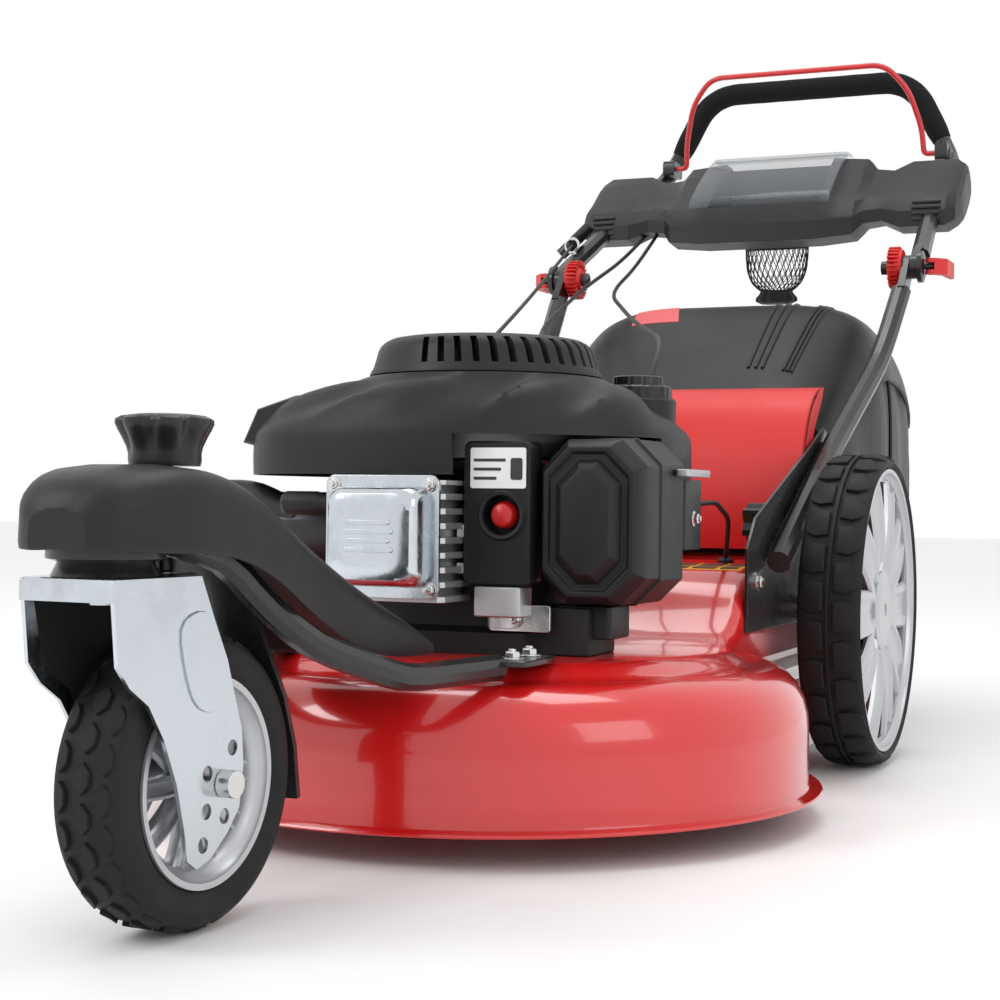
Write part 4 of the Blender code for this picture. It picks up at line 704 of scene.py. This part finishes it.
cover_ob = cover.done("frame_cover_look", "chassis", "black_plastic", ("frame_cover",), 0.0, 40, weld=False)
drill(cover_ob, 0.0062, 0.22, 0.31, "z", (0, KINGPIN_Y, 0), 28)
cover_ob.data.set_sharp_from_angle(angle=math.radians(40))
nose_plate = Shape(HOOD).loft([[Vector((x, y, z)) for x, z in nose] for y in (COVER[0][0] - 0.0002,
    COVER[0][0] + 0.004)])
nose_plate.done("frame_cover_nose", "chassis", "black_plastic", (), 0.0006, 40)

# ---------------------------------------------------------------- deck
DECK_Y, DECK_R, DECK_HALF, DECK_REAR, SHEET = -0.423, 0.286, 0.2, 0.06, 0.0028


def deck_plan(inset, arc=96):
    r, half, rear = DECK_R - inset, DECK_HALF - inset, DECK_REAR - inset
    j = math.acos(min(half / r, 1.0))
    pts = []
    for k in range(arc + 1):
        t = j - (math.pi + 2 * j) * k / arc
        pts.append((r * math.cos(t), DECK_Y + r * math.sin(t)))
    for sx, order in ((-1, (90, 60, 30, 0)), (1, (0, 30, 60, 90))):
        for deg in order:
            t = math.radians(deg)
            pts.append((sx * (half - 0.02 + 0.02 * math.sin(t)), rear - 0.02 + 0.02 * math.cos(t)))
    return pts


def deck_loft(steps):
    return Shape(RED).loft([[Vector((x, y, z)) for x, y in deck_plan(i)] for i, z in steps])


RIM_STEP = [(-0.012, 0.025), (-0.0125, 0.0262), (-0.0118, 0.0275), (-0.004, 0.028), (-0.001, 0.0292), (0, 0.033),
            (0, 0.06), (0, 0.082)]
SHOULDER = [(0.0012, 0.094), (0.0045, 0.107), (0.0105, 0.118), (0.0185, 0.1262), (0.028, 0.132), (0.036, 0.1347),
            (0.043, 0.1353),
            (0.049, 0.1346), (0.054, 0.1352), (0.06, 0.1385), (0.067, 0.1432), (0.074, 0.1466), (0.082, 0.148)]


def hump_shape(extra, low):
    line = spline([(-0.315, 0.1395), (-0.295, 0.145), (-0.275, 0.153), (-0.25, 0.1715), (-0.228, 0.1915), (-0.205,
        0.2045), (-0.18, 0.2105),
                   (-0.1, 0.2145), (0.0, 0.218), (0.06, 0.22)], 5)
    rings = []
    for x, d in ((-0.185, 0.014), (-0.1845, 0.009), (-0.182, 0.0045), (-0.178, 0.0018), (-0.172, 0.0), (0.172,
        0.0), (0.178, 0.0018), (0.182, 0.0045),
                 (0.1845, 0.009), (0.185, 0.014)):
        ring = [Vector((x - math.copysign(extra, x), line[0][0] + d + extra, low))]
        for y, z in line:
            ring.append(Vector((x - math.copysign(extra, x), y + (d + extra if y < -0.19 else 0),
                                z - extra - d * smooth((z - 0.14) / 0.02))))
        ring.append(Vector((x - math.copysign(extra, x), 0.06, low)))
        rings.append(ring)
    return Shape(RED).loft(rings)


deck_ob = deck_loft(RIM_STEP + SHOULDER).done("deck_look", "chassis", "red_paint", ("deck",), 0.0, 50)
boolean(deck_ob, plain(hump_shape(0.0, 0.12)), "UNION")
hollow = plain(deck_loft([(SHEET, 0.015)] + [(i + SHEET * (1 if z < 0.12 else 0.45),
                                              z - SHEET * (0 if i < 0.002 else 0.95))
                                             for i, z in SHOULDER]))
boolean(hollow, plain(hump_shape(SHEET, 0.06)), "UNION")
boolean(deck_ob, hollow, "DIFFERENCE")
notch(deck_ob, (-0.16, 0.16), (0.03, 0.08), (0.06, 0.196), "y", 0.012)
drill(deck_ob, 0.036, 0.12, 0.17, "z", (0, CRANK_Y, 0), 48)
deck_ob.data.set_sharp_from_angle(angle=math.radians(42))

# warning label on the tunnel and the cable grommet
lab = Shape(YELLOW)


def tunnel_top(y):
    line = [(-0.205, 0.2047), (-0.18, 0.2107), (-0.1, 0.2146), (0.0, 0.2181)]
    for (y0, z0), (y1, z1) in zip(line, line[1:]):
        if y <= y1:
            return z0 + (z1 - z0) * (y - y0) / (y1 - y0)
    return line[-1][1]


def tunnel_patch(x0, x1, y0, y1, lift):
    rings = []
    for i in range(9):
        y = y0 + (y1 - y0) * i / 8
        z = tunnel_top(y)
        rings.append([Vector((x0, y, z - 0.001)), Vector((x1, y, z - 0.001)), Vector((x1, y, z + lift)),
                      Vector((x0, y, z + lift))])
    lab.loft(rings)


tunnel_patch(0.09, 0.168, -0.198, -0.13, 0.0008)
lab.use(INK)
for x0, x1 in ((0.094, 0.112), (0.117, 0.141), (0.146, 0.164)):
    tunnel_patch(x0, x1, -0.16, -0.136, 0.0013)
    tunnel_patch(x0, x1, -0.184, -0.17, 0.0013)
lab.done("deck_label", "chassis", "red_paint")
ground = Shape(RUBBER).turned([(0.003, 0.2135), (0.0085, 0.2135), (0.0085, 0.2165), (0.006, 0.2195), (0.003,
    0.2195)], "z", (0.128, -0.1, 0), 32, ring=True)
ground.done("cable_grommet", "chassis", "rubber")

for tag, sgn in (("right", 1), ("left", -1)):
    # four thin dark quads on the bracket face: painted shade
    g = Shape(DARK)
    for i in range(4):
        a = Vector((0, 0.008 + i * 0.021, 0.262 + i * 0.0185))
        quad = [(a.y - 0.004, a.z - 0.006), (a.y + 0.006, a.z + 0.003), (a.y + 0.001, a.z + 0.016), (a.y - 0.009,
            a.z + 0.007)]
        g.prism(quad, *either(sgn, 0.1884, 0.1888), "x")
    g.use(RED)
    g.sweep([(sgn * 0.1915, 0.04, 0.262), (sgn * 0.1915, 0.1, 0.345)], (0.0055, 0.0022), 10)
    g.use(BOLT)
    for y in (-0.2, 0.03):
        g.bolt((sgn * BRACKET_FACE, y, 0.2), "x", 0.0065, 0.005, sgn, 1.5)
    g.done("bracket_trim_" + tag, "chassis", "black_paint")

# ---------------------------------------------------------------- engine hood
CRANK = Vector((0, CRANK_Y, 0))
PLAN = [(-0.216, -0.47), (-0.175, -0.548), (-0.085, -0.582), (0.005, -0.582), (0.06, -0.56), (0.12, -0.52), (0.16,
    -0.47),
        (0.172, -0.39), (0.155, -0.3), (0.08, -0.262), (-0.07, -0.262), (-0.165, -0.3), (-0.21, -0.385)]
fine_plan = spline([((a[0] * 3 + b[0]) / 4, (a[1] * 3 + b[1]) / 4) for a, b in zip(PLAN, PLAN[1:] + PLAN[:1])], 8,
                   True)


def hood_ring(t, z, thick, swell=0.0):
    out = []
    for x, y in fine_plan:
        dx, dy = x, y - CRANK.y
        d = math.hypot(dx, dy)
        ang = math.degrees(math.atan2(dy, dx))
        r = d * (1 - t) + 0.106 * t - thick
        ridge = 0.0
        if swell:
            for mid, wide in ((-118, 15), (-62, 11), (-20, 16), (-165, 14)):
                off = (ang - mid - 30 * t + 180) % 360 - 180
                ridge += math.exp(-(off / wide) ** 6) * swell * 1.25
        out.append(Vector((dx / d * r, CRANK.y + dy / d * r, z + ridge)))
    return out


steps = [(0.0, 0.297, 0), (0.0, 0.3, 0), (-0.004, 0.312, 0), (0.0, 0.33, 0), (0.02, 0.335, 0), (0.06, 0.3395,
    0.001), (0.12, 0.344, 0.003),
         (0.2, 0.349, 0.006), (0.3, 0.354, 0.008), (0.45, 0.36, 0.008), (0.6, 0.366, 0.007), (0.75, 0.372, 0.005),
         (0.88, 0.3775, 0.002),
         (1.0, 0.384, 0), (1.12, 0.385, 0)]
rings = [hood_ring(t, z, 0.0, s) for t, z, s in steps]
rings += [hood_ring(t, z - (0.003 if t > 0.05 else 0), 0.003 if t < 1.05 else 0.0, s) for t, z,
          s in reversed(steps)]
hood = Shape(HOOD).loft(rings, closed=True).done("hood_look", "chassis", "black_plastic", ("engine_shroud",), 0.0,
    34)
notch(hood, (0.0905, 0.26), (-0.7, -0.438), (0.25, 0.331), "z", 0.006)
notch(hood, (0.029, 0.1), (-0.7, -0.5285), (0.25, 0.331), "z", 0.004)
CAP = (0.121, -0.369)
boolean(hood, plain(Shape(HOOD).turned([(0, 0.345), (0.034, 0.345), (0.034, 0.367), (0.0325, 0.369), (0, 0.369)],
                                       "z", (*CAP, 0), 48)), "UNION")
drill(hood, 0.0178, 0.3, 0.4, "z", (*CAP, 0), 40)
hood.data.set_sharp_from_angle(angle=math.radians(34))
# raised visor on the left shoulder and bolts
trim = Shape(HOOD)
visor = [(-0.205, 0.335), (-0.19, 0.366), (-0.15, 0.378), (-0.11, 0.38), (-0.112, 0.372), (-0.15, 0.366), (-0.18,
    0.352), (-0.192, 0.332)]
vr = []
for y, s in ((-0.52, 0.86), (-0.515, 0.97), (-0.48, 1.0), (-0.43, 1.0), (-0.395, 0.97), (-0.388, 0.88)):
    vr.append([Vector((-0.16 + (x + 0.16) * s, y, 0.355 + (z - 0.355) * s - 0.01)) for x, z in visor])
trim.loft(vr)
trim.use(BOLT)
for bx, by, bz in ((-0.095, -0.515, 0.3625), (0.095, -0.5, 0.36)):
    trim.bolt((bx, by, bz), "z", 0.0058, 0.0065, 1, 1.5)
trim.done("hood_trim", "chassis", "black_plastic", bevel=0.0008)

# recoil starter housing with slanted slots
prof = [(0.104, 0.3855), (0.1035, 0.388), (0.101, 0.392), (0.0985, 0.4), (0.0965, 0.4075), (0.094, 0.412), (0.09,
    0.4155), (0.085, 0.418),
        (0.078, 0.4193), (0.06, 0.4196), (0.058, 0.4186), (0.05, 0.4184), (0.048, 0.42), (0.03, 0.4206), (0,
            0.4207)]
inside = [(0, 0.4178), (0.03, 0.4176), (0.0765, 0.4168), (0.0875, 0.4133), (0.0938, 0.4066), (0.098, 0.3915),
          (0.101, 0.3855)]
rec = Shape(HOOD).turned(prof + inside, "z", CRANK, 144).done("recoil_look", "chassis", "black_plastic",
    ("recoil_housing",), 0.0, 34)
slots = Shape(HOOD)
for k in range(40):
    t = math.tau * k / 40 + 0.05
    off = (math.degrees(t) - 238 + 180) % 360 - 180
    if abs(off) < 22:
        continue
    c, s = math.cos(t), math.sin(t)
    quad = []
    for r, along in ((0.11, 0.0032), (0.11, -0.0032), (0.074, -0.0026 - 0.014), (0.074, 0.0026 - 0.014)):
        quad.append((r * c - along * s, CRANK.y + r * s + along * c))
    slots.prism(quad, 0.393, 0.4155, "z")
boolean(rec, plain(slots), "DIFFERENCE")
rec.data.set_sharp_from_angle(angle=math.radians(34))
# near-black disc under the housing: painted shade seen through the slots
core = Shape(DARK).turned([(0, 0.352), (0.086, 0.352), (0.088, 0.395), (0.08, 0.408), (0, 0.411)], "z", CRANK, 64)
core.done("recoil_shade_core", "rotor", "aluminium")

# fuel cap
cap = Shape(GLOSS_BLACK)
cap_prof = [(0, 0.3693), (0.0305, 0.3693), (0.0305, 0.379), (0.029, 0.3805), (0.0235, 0.3815), (0.023, 0.3885),
            (0.0215, 0.3895), (0, 0.3897)]
cap.fluted(cap_prof, *CAP, lambda r, z, a: r - (0.0009 * (0.5 + 0.5 * math.cos(24 * a)) if r > 0.02 else 0))
cap.done("fuel_cap_look", "fuel_cap_body", "black_plastic", ("fuel_cap",), 0.0, 40)

# valve cover: pressed box on a flange
vc = Shape(ZINC)
vc.prism(rounded(0.195, 0.296, -0.074, 0.029, 0.008), -0.5978, -0.5938, "y", 0.0004)
rings = []
for inset, y, r in ((0.009, -0.5976, 0.01), (0.0095, -0.603, 0.01), (0.0105, -0.6125, 0.012), (0.0125, -0.6175,
    0.013), (0.0155, -0.6205, 0.013),
                    (0.02, -0.6217, 0.012), (0.026, -0.622, 0.01)):
    rings.append([Vector((b, y, a)) for a, b in rounded(0.195 + inset, 0.296 - inset, -0.074 + inset,
        0.029 - inset, r)])
vc.loft(rings)
for i, z in enumerate((0.233, 0.2405, 0.248, 0.2555)):
    w = 0.022 - 0.003 * (i % 2)
    vc.block((-0.0225 - w, -0.0225 + w), (-0.6238, -0.6212), (z, z + 0.0036), "y", 0.0014, 0.0008)
for bx, bz in ((-0.0665, 0.288), (0.0215, 0.288), (0.0215, 0.203), (-0.0665, 0.203)):
    vc.bolt((bx, -0.5978, bz), "y", 0.0046, 0.0045, -1, 1.3)
vc.done("valve_cover_look", "chassis", "zinc", ("valve_cover",), 0.0007, 30)

# carburettor cover with a label plate and the primer's bezel
cc = Shape(BLACK)
cc.prism(rounded(0.206, 0.325, 0.032, 0.0925, 0.006), -0.556, -0.5303, "y", 0.0016)
cc_ob = cc.done("carb_cover_look", "chassis", "black_plastic", ("carburettor_cover",), 0.0, 30)
drill(cc_ob, 0.0165, -0.57, -0.5415, "y", PRIMER_AT, 40)
drill(cc_ob, 0.0048, -0.56, -0.532, "y", PRIMER_AT, 24)
plate = Shape(WHITE)
plate.block((0.0385, 0.088), (-0.5568, -0.5558), (0.286, 0.3195), "y", 0.002, 0.0)
plate.use(INK)
for i in range(3):
    plate.block((0.0415, 0.07 - 0.004 * i), (-0.5571, -0.556), (0.308 - i * 0.0075, 0.3105 - i * 0.0075), "y",
                0.0008, 0.0)
plate.block((0.0745, 0.085), (-0.5571, -0.556), (0.293, 0.311), "y", 0.002, 0.0)
plate.use(BOLT)
for tab in ((0.245, 0.256), (0.215, 0.224)):
    plate.block((0.0255, 0.032), (-0.554, -0.55), tab, "y", 0.001, 0.0004)
plate.use(BLACK)
plate.turned([(0.0168, -0.556), (0.0168, -0.559), (0.0195, -0.5595), (0.0215, -0.556)], "y", PRIMER_AT, 48,
             ring=True)
plate.done("carb_label", "chassis", "black_plastic")

# air filter: faceted octagonal cover with a raised frame
af = Shape(BLACK)


def oct_ring(inset, y, c):
    x0, x1, z0, z1 = 0.0932 + inset, 0.188 - inset, 0.19 + inset, 0.329 - inset
    return [Vector((x, y, z)) for x, z in ((x0 + c, z0), (x1 - c, z0), (x1, z0 + c), (x1, z1 - c), (x1 - c, z1),
                                           (x0 + c, z1), (x0, z1 - c), (x0, z0 + c))]


af.loft([oct_ring(*step) for step in (
    (0.004, -0.44, 0.02), (0.001, -0.442, 0.02), (0.001, -0.5, 0.021), (0.0, -0.5015, 0.022), (0.0, -0.505, 0.022),
    (0.0015, -0.5065, 0.022), (0.002, -0.536, 0.022), (0.006, -0.5485, 0.022), (0.009, -0.5525, 0.021),
    (0.0125, -0.5525, 0.02), (0.0145, -0.55, 0.02), (0.019, -0.55, 0.019), (0.022, -0.556, 0.018),
    (0.027, -0.561, 0.016), (0.033, -0.562, 0.014))])
af.done("air_filter_look", "chassis", "black_plastic", ("air_filter_cover",), 0.001, 20)

# brackets and boxes round the engine
br = Shape(BOLT)
br.block((0.052, 0.106), (-0.545, -0.541), (0.168, 0.19), "y", 0.002, 0.0004)
br.bolt((0.075, -0.545, 0.18), "y", 0.006, 0.006, -1, 1.5)
br.use(BLACK).block((0.1, 0.15), (-0.52, -0.47), (0.162, 0.1895), "z", 0.004, 0.001)
br.use(ALU).block((0.1885, 0.2), (-0.47, -0.405), (0.298, 0.304), "z", 0.002, 0.0005)
br.use(BLACK).block((0.15, 0.185), (-0.432, -0.38), (0.235, 0.296), "z", 0.004, 0.001)
br.use(BOLT)
br.bolt((0.185, -0.405, 0.262), "x", 0.005, 0.005, 1, 1.4)
br.done("engine_bracket", "chassis", "zinc", bevel=0.0004)
fb = Shape(BOLT)
for s in (-1, 1):
    for y in (-0.64, -0.605):
        fb.bolt((s * 0.112, y, 0.1541), "z", 0.0062, 0.006, 1, 1.6)
fb.done("frame_bolts", "chassis", "zinc", bevel=0.0003)

# ---------------------------------------------------------------- handle


def grip_look():
    tube = [(0.22, 0.78, 0.775), (0.154, 0.79, 0.9065), (-0.154, 0.79, 0.9065), (-0.22, 0.78, 0.775)]
    first = Vector(tube[0]).lerp(Vector(tube[1]), 0.3)
    last = Vector(tube[3]).lerp(Vector(tube[2]), 0.3)
    path = fillet([first, tube[1], tube[2], last], 0.045, 12)
    g = Shape(FOAM)
    dense = []
    for a, b in zip(path, path[1:]):
        steps_here = max(1, int((b - a).length / 0.012))
        dense += [a.lerp(b, i / steps_here) for i in range(steps_here)]
    dense.append(path[-1])
    m = len(dense)
    radii = [0.0135 if i in (0, m - 1) else 0.0155 if i in (1, m - 2) else 0.016 + 0.00012 * math.sin(i * 1.7)
             for i in range(m)]
    g.sweep(dense, radii, 28)
    ob = g.done("grip_look", "handle", "foam", ("handle_grip",), 0.0, 60)


grip_look()
BP = (0.185, 0.748, 0.789)
bail = Shape(RED_WIRE)
pts = [(0.196, BP[1], BP[2]), (0.18, BP[1], BP[2]), (0.178, 0.74, 0.825), (0.162, 0.718, 0.878), (0.13, 0.702,
    0.913)]
bail.sweep(fillet(pts + [(-x, y, z) for x, y, z in reversed(pts)], 0.02, 8), 0.004, 16)
bail.done("bail_look", "bail", "red_plastic", ("brake_bail",), 0.0, 60)

# ---------------------------------------------------------------- console, lid and net
refine("console_body", HOOD, 0.0022, 24)
vent = Shape(GLOSS_BLACK)
for s in (-1, 1):
    for z, y in ((0.654, 0.5039), (0.662, 0.5046), (0.67, 0.5065), (0.678, 0.5123)):
        vent.block((-0.246, -0.212) if s < 0 else (0.206, 0.244), (y - 0.0016, y + 0.004), (z, z + 0.0042), "x",
                   0.0012, 0.001)
vent.done("console_vents", "handle", "black_plastic", bevel=0.0006)

lid = Shape(CLEAR)
lid_line = [(0.4925, 0.687), (0.495, 0.6945), (0.502, 0.702), (0.531, 0.724), (0.56, 0.744), (0.59, 0.761),
            (0.618, 0.7745), (0.633, 0.7755), (0.648, 0.7745)]
rings = []
for x, sink, pull in ((-0.098, 0.002, 0.004), (-0.0965, 0.0006, 0.002), (-0.092, 0.0, 0.0), (0.092, 0.0, 0.0),
                      (0.0965, 0.0006, 0.002), (0.098, 0.002, 0.004)):
    rings.append([Vector((x, y, z - sink)) for y, z in lid_line] + [Vector((x, y + 0.0012, z - 0.003 - sink))
        for y, z in reversed(lid_line)])
lid.loft(rings)
lid.done("lid_look", "lid", "clear_plastic", ("console_lid",), 0.0006, 30)

net = Shape(NET)
levels = [(0.64, 0.046, 0.01), (0.625, 0.0455, 0.0135), (0.61, 0.044, 0.016), (0.598, 0.04, 0.0175), (0.59, 0.036,
    0.018), (0.583, 0.029, 0.0165),
          (0.578, 0.022, 0.015)]


def net_point(u, a, grow=0.0):
    f = u * (len(levels) - 1)
    i = min(int(f), len(levels) - 2)
    z, hx, hy = (levels[i][k] + (levels[i + 1][k] - levels[i][k]) * (f - i) for k in range(3))
    return Vector(((hx - 0.0012 + grow) * math.cos(a), NET_Y + (hy - 0.001 + grow) * math.sin(a), z))


for k in range(30):
    for way in (-1, 1):
        a0 = math.tau * k / 30
        net.sweep([net_point(i / 14, a0 + way * 0.75 * i / 14, 0.0006 if way > 0 else 0.0) for i in range(15)],
                  0.00062, 5)
net.sweep([net_point(0, math.tau * i / 36) for i in range(37)], 0.0016, 8)
rings = []
for z, hx, hy in ((0.579, 0.0215, 0.0145), (0.574, 0.024, 0.016), (0.569, 0.0285, 0.017), (0.564, 0.029, 0.0165),
                  (0.5605, 0.022, 0.013), (0.56, 0.012, 0.008)):
    rings.append([Vector((hx * (1 + 0.05 * math.cos(11 * q)) * math.cos(q),
                          NET_Y + hy * (1 + 0.06 * math.cos(11 * q)) * math.sin(q), z))
                  for q in (math.tau * i / 66 for i in range(66))])
net.loft(rings)
net.done("net_look", "handle", "fabric", ("net_pocket",), 0.0, 60)

# toothed rosettes of the handle clamps
for s, tag in ((1, "right"), (-1, "left")):
    ros = Shape(RED_PLASTIC)
    for k in range(28):
        a = math.tau * k / 28
        quad = [(CLAMP_Y + r * math.cos(a + d), CLAMP_Z + r * math.sin(a + d)) for r, d in ((0.019, -0.06),
            (0.0262, -0.035), (0.0262, 0.035), (0.019, 0.06))]
        ros.prism(quad, *either(s, 0.207, 0.22), "x")
    ros.done("clamp_teeth_" + tag, "chassis", "red_plastic")

# ---------------------------------------------------------------- flap and grass bag
flap = Shape(RED_PLASTIC)
line = spline([(0.0, 0.2262), (-0.004, 0.25), (-0.001, 0.29), (0.013, 0.34), (0.04, 0.381), (0.07, 0.401), (0.101,
    0.408)], 5)
back = spline([(0.101, 0.4045), (0.0715, 0.3975), (0.0425, 0.3782), (0.0162, 0.3385), (0.0025, 0.2893), (-0.0004,
    0.25), (0.0036, 0.2262)], 5)
flap.prism(line + back, -0.1835, 0.1835, "x")
for s in (-1, 1):
    cheek = line + [(0.095, 0.395), (0.06, 0.36), (0.036, 0.32), (0.022, 0.27), (0.01, 0.2262)]
    flap.prism(cheek, *either(s, 0.1835, 0.1805), "x")
flap.done("flap_look", "flap", "red_plastic", ("rear_flap",), 0.0007, 40)

BAG = [(0.064, 0.165, 0.052, 0.213), (0.105, 0.171, 0.05, 0.345), (0.15, 0.176, 0.048, 0.395), (0.24, 0.19, 0.048,
    0.462),
       (0.345, 0.204, 0.055, 0.523), (0.43, 0.205, 0.065, 0.523), (0.52, 0.202, 0.08, 0.498), (0.59, 0.192, 0.105,
           0.45),
       (0.622, 0.17, 0.14, 0.4)]
stations = spline(BAG, 5)


def bag_point(row, t, grow, fold=0.0):
    y, half, low, high = row
    c, s = math.cos(t), math.sin(t)
    cz, hz = (low + high) / 2, (high - low) / 2
    sag = fold * (0.0022 * math.sin(y * 60 + 3 * t) + 0.0016 * math.sin(5 * t + y * 21))
    x = (half + grow + sag) * math.copysign(abs(c) ** 0.45, c)
    z = (hz + grow + sag) * math.copysign(abs(s) ** 0.45, s)
    return Vector((x, y, cz + z))


bag = Shape(CLOTH)
ANG = [math.tau * k / 96 for k in range(96)]
out_rings = [[bag_point(r, t, -0.0015, 1.0 if i > 1 else 0.0) for t in ANG] for i, r in enumerate(stations)]
in_rings = [[bag_point((r[0] - (0.004 if i > len(stations) - 3 else 0), *r[1:]), t, -0.0045, 1.0 if i > 1
                       else 0.0) for t in ANG] for i, r in enumerate(stations)]
n, m = 96, len(stations)
verts = [p for r in out_rings + in_rings for p in r]
faces = []
for i in range(m - 1):
    for k in range(n):
        k2 = (k + 1) % n
        faces += [(i * n + k, i * n + k2, (i + 1) * n + k2, (i + 1) * n + k),
                  (m * n + i * n + k2, m * n + i * n + k, m * n + (i + 1) * n + k, m * n + (i + 1) * n + k2)]
for k in range(n):
    faces.append(((k + 1) % n, k, m * n + k, m * n + (k + 1) % n))
faces += [tuple((m - 1) * n + k for k in range(n)), tuple(m * n + (m - 1) * n + k for k in range(n - 1, -1, -1))]
bag.add(verts, faces)
bag.use(RUBBER)
for i in (2, 22, 36):
    ring = [bag_point(stations[i], t, 0.0008) for t in ANG]
    bag.sweep(ring + ring[:1], 0.0022, 8)
bag.done("bag_look", "bag", "fabric", ("grass_bag",), 0.0, 50)

top = Shape(BLACK)
span = [math.pi * (0.1 + 0.8 * i / 40) for i in range(41)]
rows = [r for r in stations if 0.149 < r[0] < 0.591]
rings = []
for r in rows:
    rings.append([bag_point(r, t, 0.0048) for t in span] + [bag_point(r, t, 0.0016) for t in reversed(span)])
top.loft(rings)
for band in (0.4, 0.46):
    for off in (-0.012, 0.0, 0.012):
        t = math.pi * (0.5 + (band - 0.5) * 1.1 + off * 0.9)
        top.sweep([bag_point(r, t + 0.004 * i, 0.0052) for i, r in enumerate(rows[3:-4])], 0.0022, 8)
top.use(PATCH)
patch = []
for j, r in enumerate(rows[8:14]):
    ts = [math.pi * (0.515 + 0.004 * j + 0.075 * i / 8) for i in range(9)]
    patch.append([bag_point(r, t, 0.0058) for t in ts] + [bag_point(r, t, 0.0044) for t in reversed(ts)])
top.loft(patch)
top.done("bag_top_look", "bag", "black_plastic", ("bag_lid",), 0.0006, 40)

# ---------------------------------------------------------------- cables and starter rope
BRAKE = [(-0.17, 0.536, 0.66), (-0.185, 0.46, 0.61), (-0.195, 0.34, 0.56), (-0.14, 0.05, 0.48), (-0.06, -0.16,
    0.43), (-0.05, -0.245, 0.38), (-0.05, -0.248, 0.33)]
THROTTLE = [(-0.156, 0.538, 0.66), (-0.165, 0.46, 0.6), (-0.155, 0.33, 0.55), (-0.05, 0.12, 0.49), (0.05, -0.08,
    0.45), (0.08, -0.2, 0.41), (0.08, -0.245, 0.36)]
LINK = [(0.157, -0.296, 0.275), (0.157, -0.24, 0.277), (0.145, -0.15, 0.26), (0.13, -0.105, 0.225), (0.128, -0.1,
    0.2155)]
ZONE = tuple(Vector((0, CLAMP_Y + SHIFT + 0.05 * k, CLAMP_Z + 0.02 * k)) for k in (-1, 1))
for name, line, blend in (("brake_cable", BRAKE, True), ("throttle_cable", THROTTLE, True), ("link_cable", LINK,
    False)):
    c = Shape(RUBBER)
    c.sweep(fillet(line, 0.09 if blend else 0.02, 14), CABLE_R, 12)
    c.done(name + "_look", "chassis", "rubber", (name,), 0.0, 60, blend=("handle", *ZONE) if blend else None)

ROPE = [(-0.058, -0.353, 0.402), (-0.1482, 0.028, 0.511), (-0.2385, 0.4085, 0.628)]
rope = Shape(RUBBER)
rope.sweep(spline(ROPE, 24), ROPE_R, 12)
rope.done("starter_rope_look", "chassis", "rubber", ("starter_rope",), 0.0, 60, blend=("handle", *ZONE))
RING, PULL = Vector((-0.2385, 0.4085, 0.628)), Vector((-0.2385, 0.4135, 0.632))
tail = Shape(RUBBER)
tail.sweep([RING.lerp(PULL, i / 12) for i in range(13)], TAIL_R, 12)
tail.done("starter_rope_tail", "handle", "rubber", blend=("starter", RING + Vector((0, SHIFT, 0)),
    PULL + Vector((0, SHIFT, 0))))

# ---------------------------------------------------------------- floor, light, camera
floor_mat = surface("studio_floor", (0.86, 0.86, 0.86), 0.0, 0.55, 200, 0.01, 0.05, 0.01)
me = bpy.data.meshes.new("floor")
FLOOR, FLOOR_Z = 14, -0.0005
corners = [(x * FLOOR, y * FLOOR, FLOOR_Z) for x, y in ((-1, -1), (1, -1), (1, 1), (-1, 1))]
me.from_pydata(corners, [], [(0, 1, 2, 3)])
me.materials.append(floor_mat)
floor = bpy.data.objects.new("floor", me)
bpy.context.scene.collection.objects.link(floor)

world = bpy.data.worlds.new("studio")
bpy.context.scene.world = world
world.use_nodes = True
world.node_tree.nodes["Background"].inputs["Color"].default_value = (1.0, 1.0, 1.0, 1)
world.node_tree.nodes["Background"].inputs["Strength"].default_value = 1.0
bpy.context.scene.view_settings.view_transform = "Standard"


def lamp(name, at, target, size, power, size_y=None):
    data = bpy.data.lights.new(name, "AREA")
    data.shape = "RECTANGLE"
    data.size = size
    data.size_y = size_y or size
    data.energy = power
    ob = bpy.data.objects.new(name, data)
    ob.location = at
    ob.rotation_euler = (Vector(target) - Vector(at)).to_track_quat("-Z", "Y").to_euler()
    bpy.context.scene.collection.objects.link(ob)


lamp("key", (-2.2, -2.6, 2.6), (0, -0.2, 0.3), 1.4, 40)
lamp("fill", (3.2, -1.6, 1.6), (0, 0, 0.3), 1.6, 16)
lamp("top", (0.2, 0.4, 3.2), (0, 0, 0.2), 2.2, 26, 1.0)

# Camera found by the fit to the photograph: angles in degrees, place in working coordinates.
AZ, PITCH, ROLL = (math.radians(a) for a in (22.5844, 0.0426, 0.6386))
EYE = (0.6466, -1.9344, 0.2756)
fwd = Vector((-math.sin(AZ) * math.cos(PITCH), math.cos(AZ) * math.cos(PITCH), -math.sin(PITCH)))
side = Vector((math.cos(AZ), math.sin(AZ), 0))
up = side.cross(fwd)
right = side * math.cos(ROLL) + up * math.sin(ROLL)
upper = up * math.cos(ROLL) - side * math.sin(ROLL)
cam_data = bpy.data.cameras.new("camera")
cam_data.lens = 65.51
cam_data.sensor_width = 36.0
cam_data.shift_x = -0.00927
cam_data.shift_y = 0.00246
cam = bpy.data.objects.new("camera", cam_data)
m = Matrix((right, upper, -fwd)).transposed().to_4x4()
m.translation = Vector((EYE[0], EYE[1] + SHIFT, EYE[2]))
cam.matrix_world = m
bpy.context.scene.collection.objects.link(cam)
bpy.context.scene.camera = cam
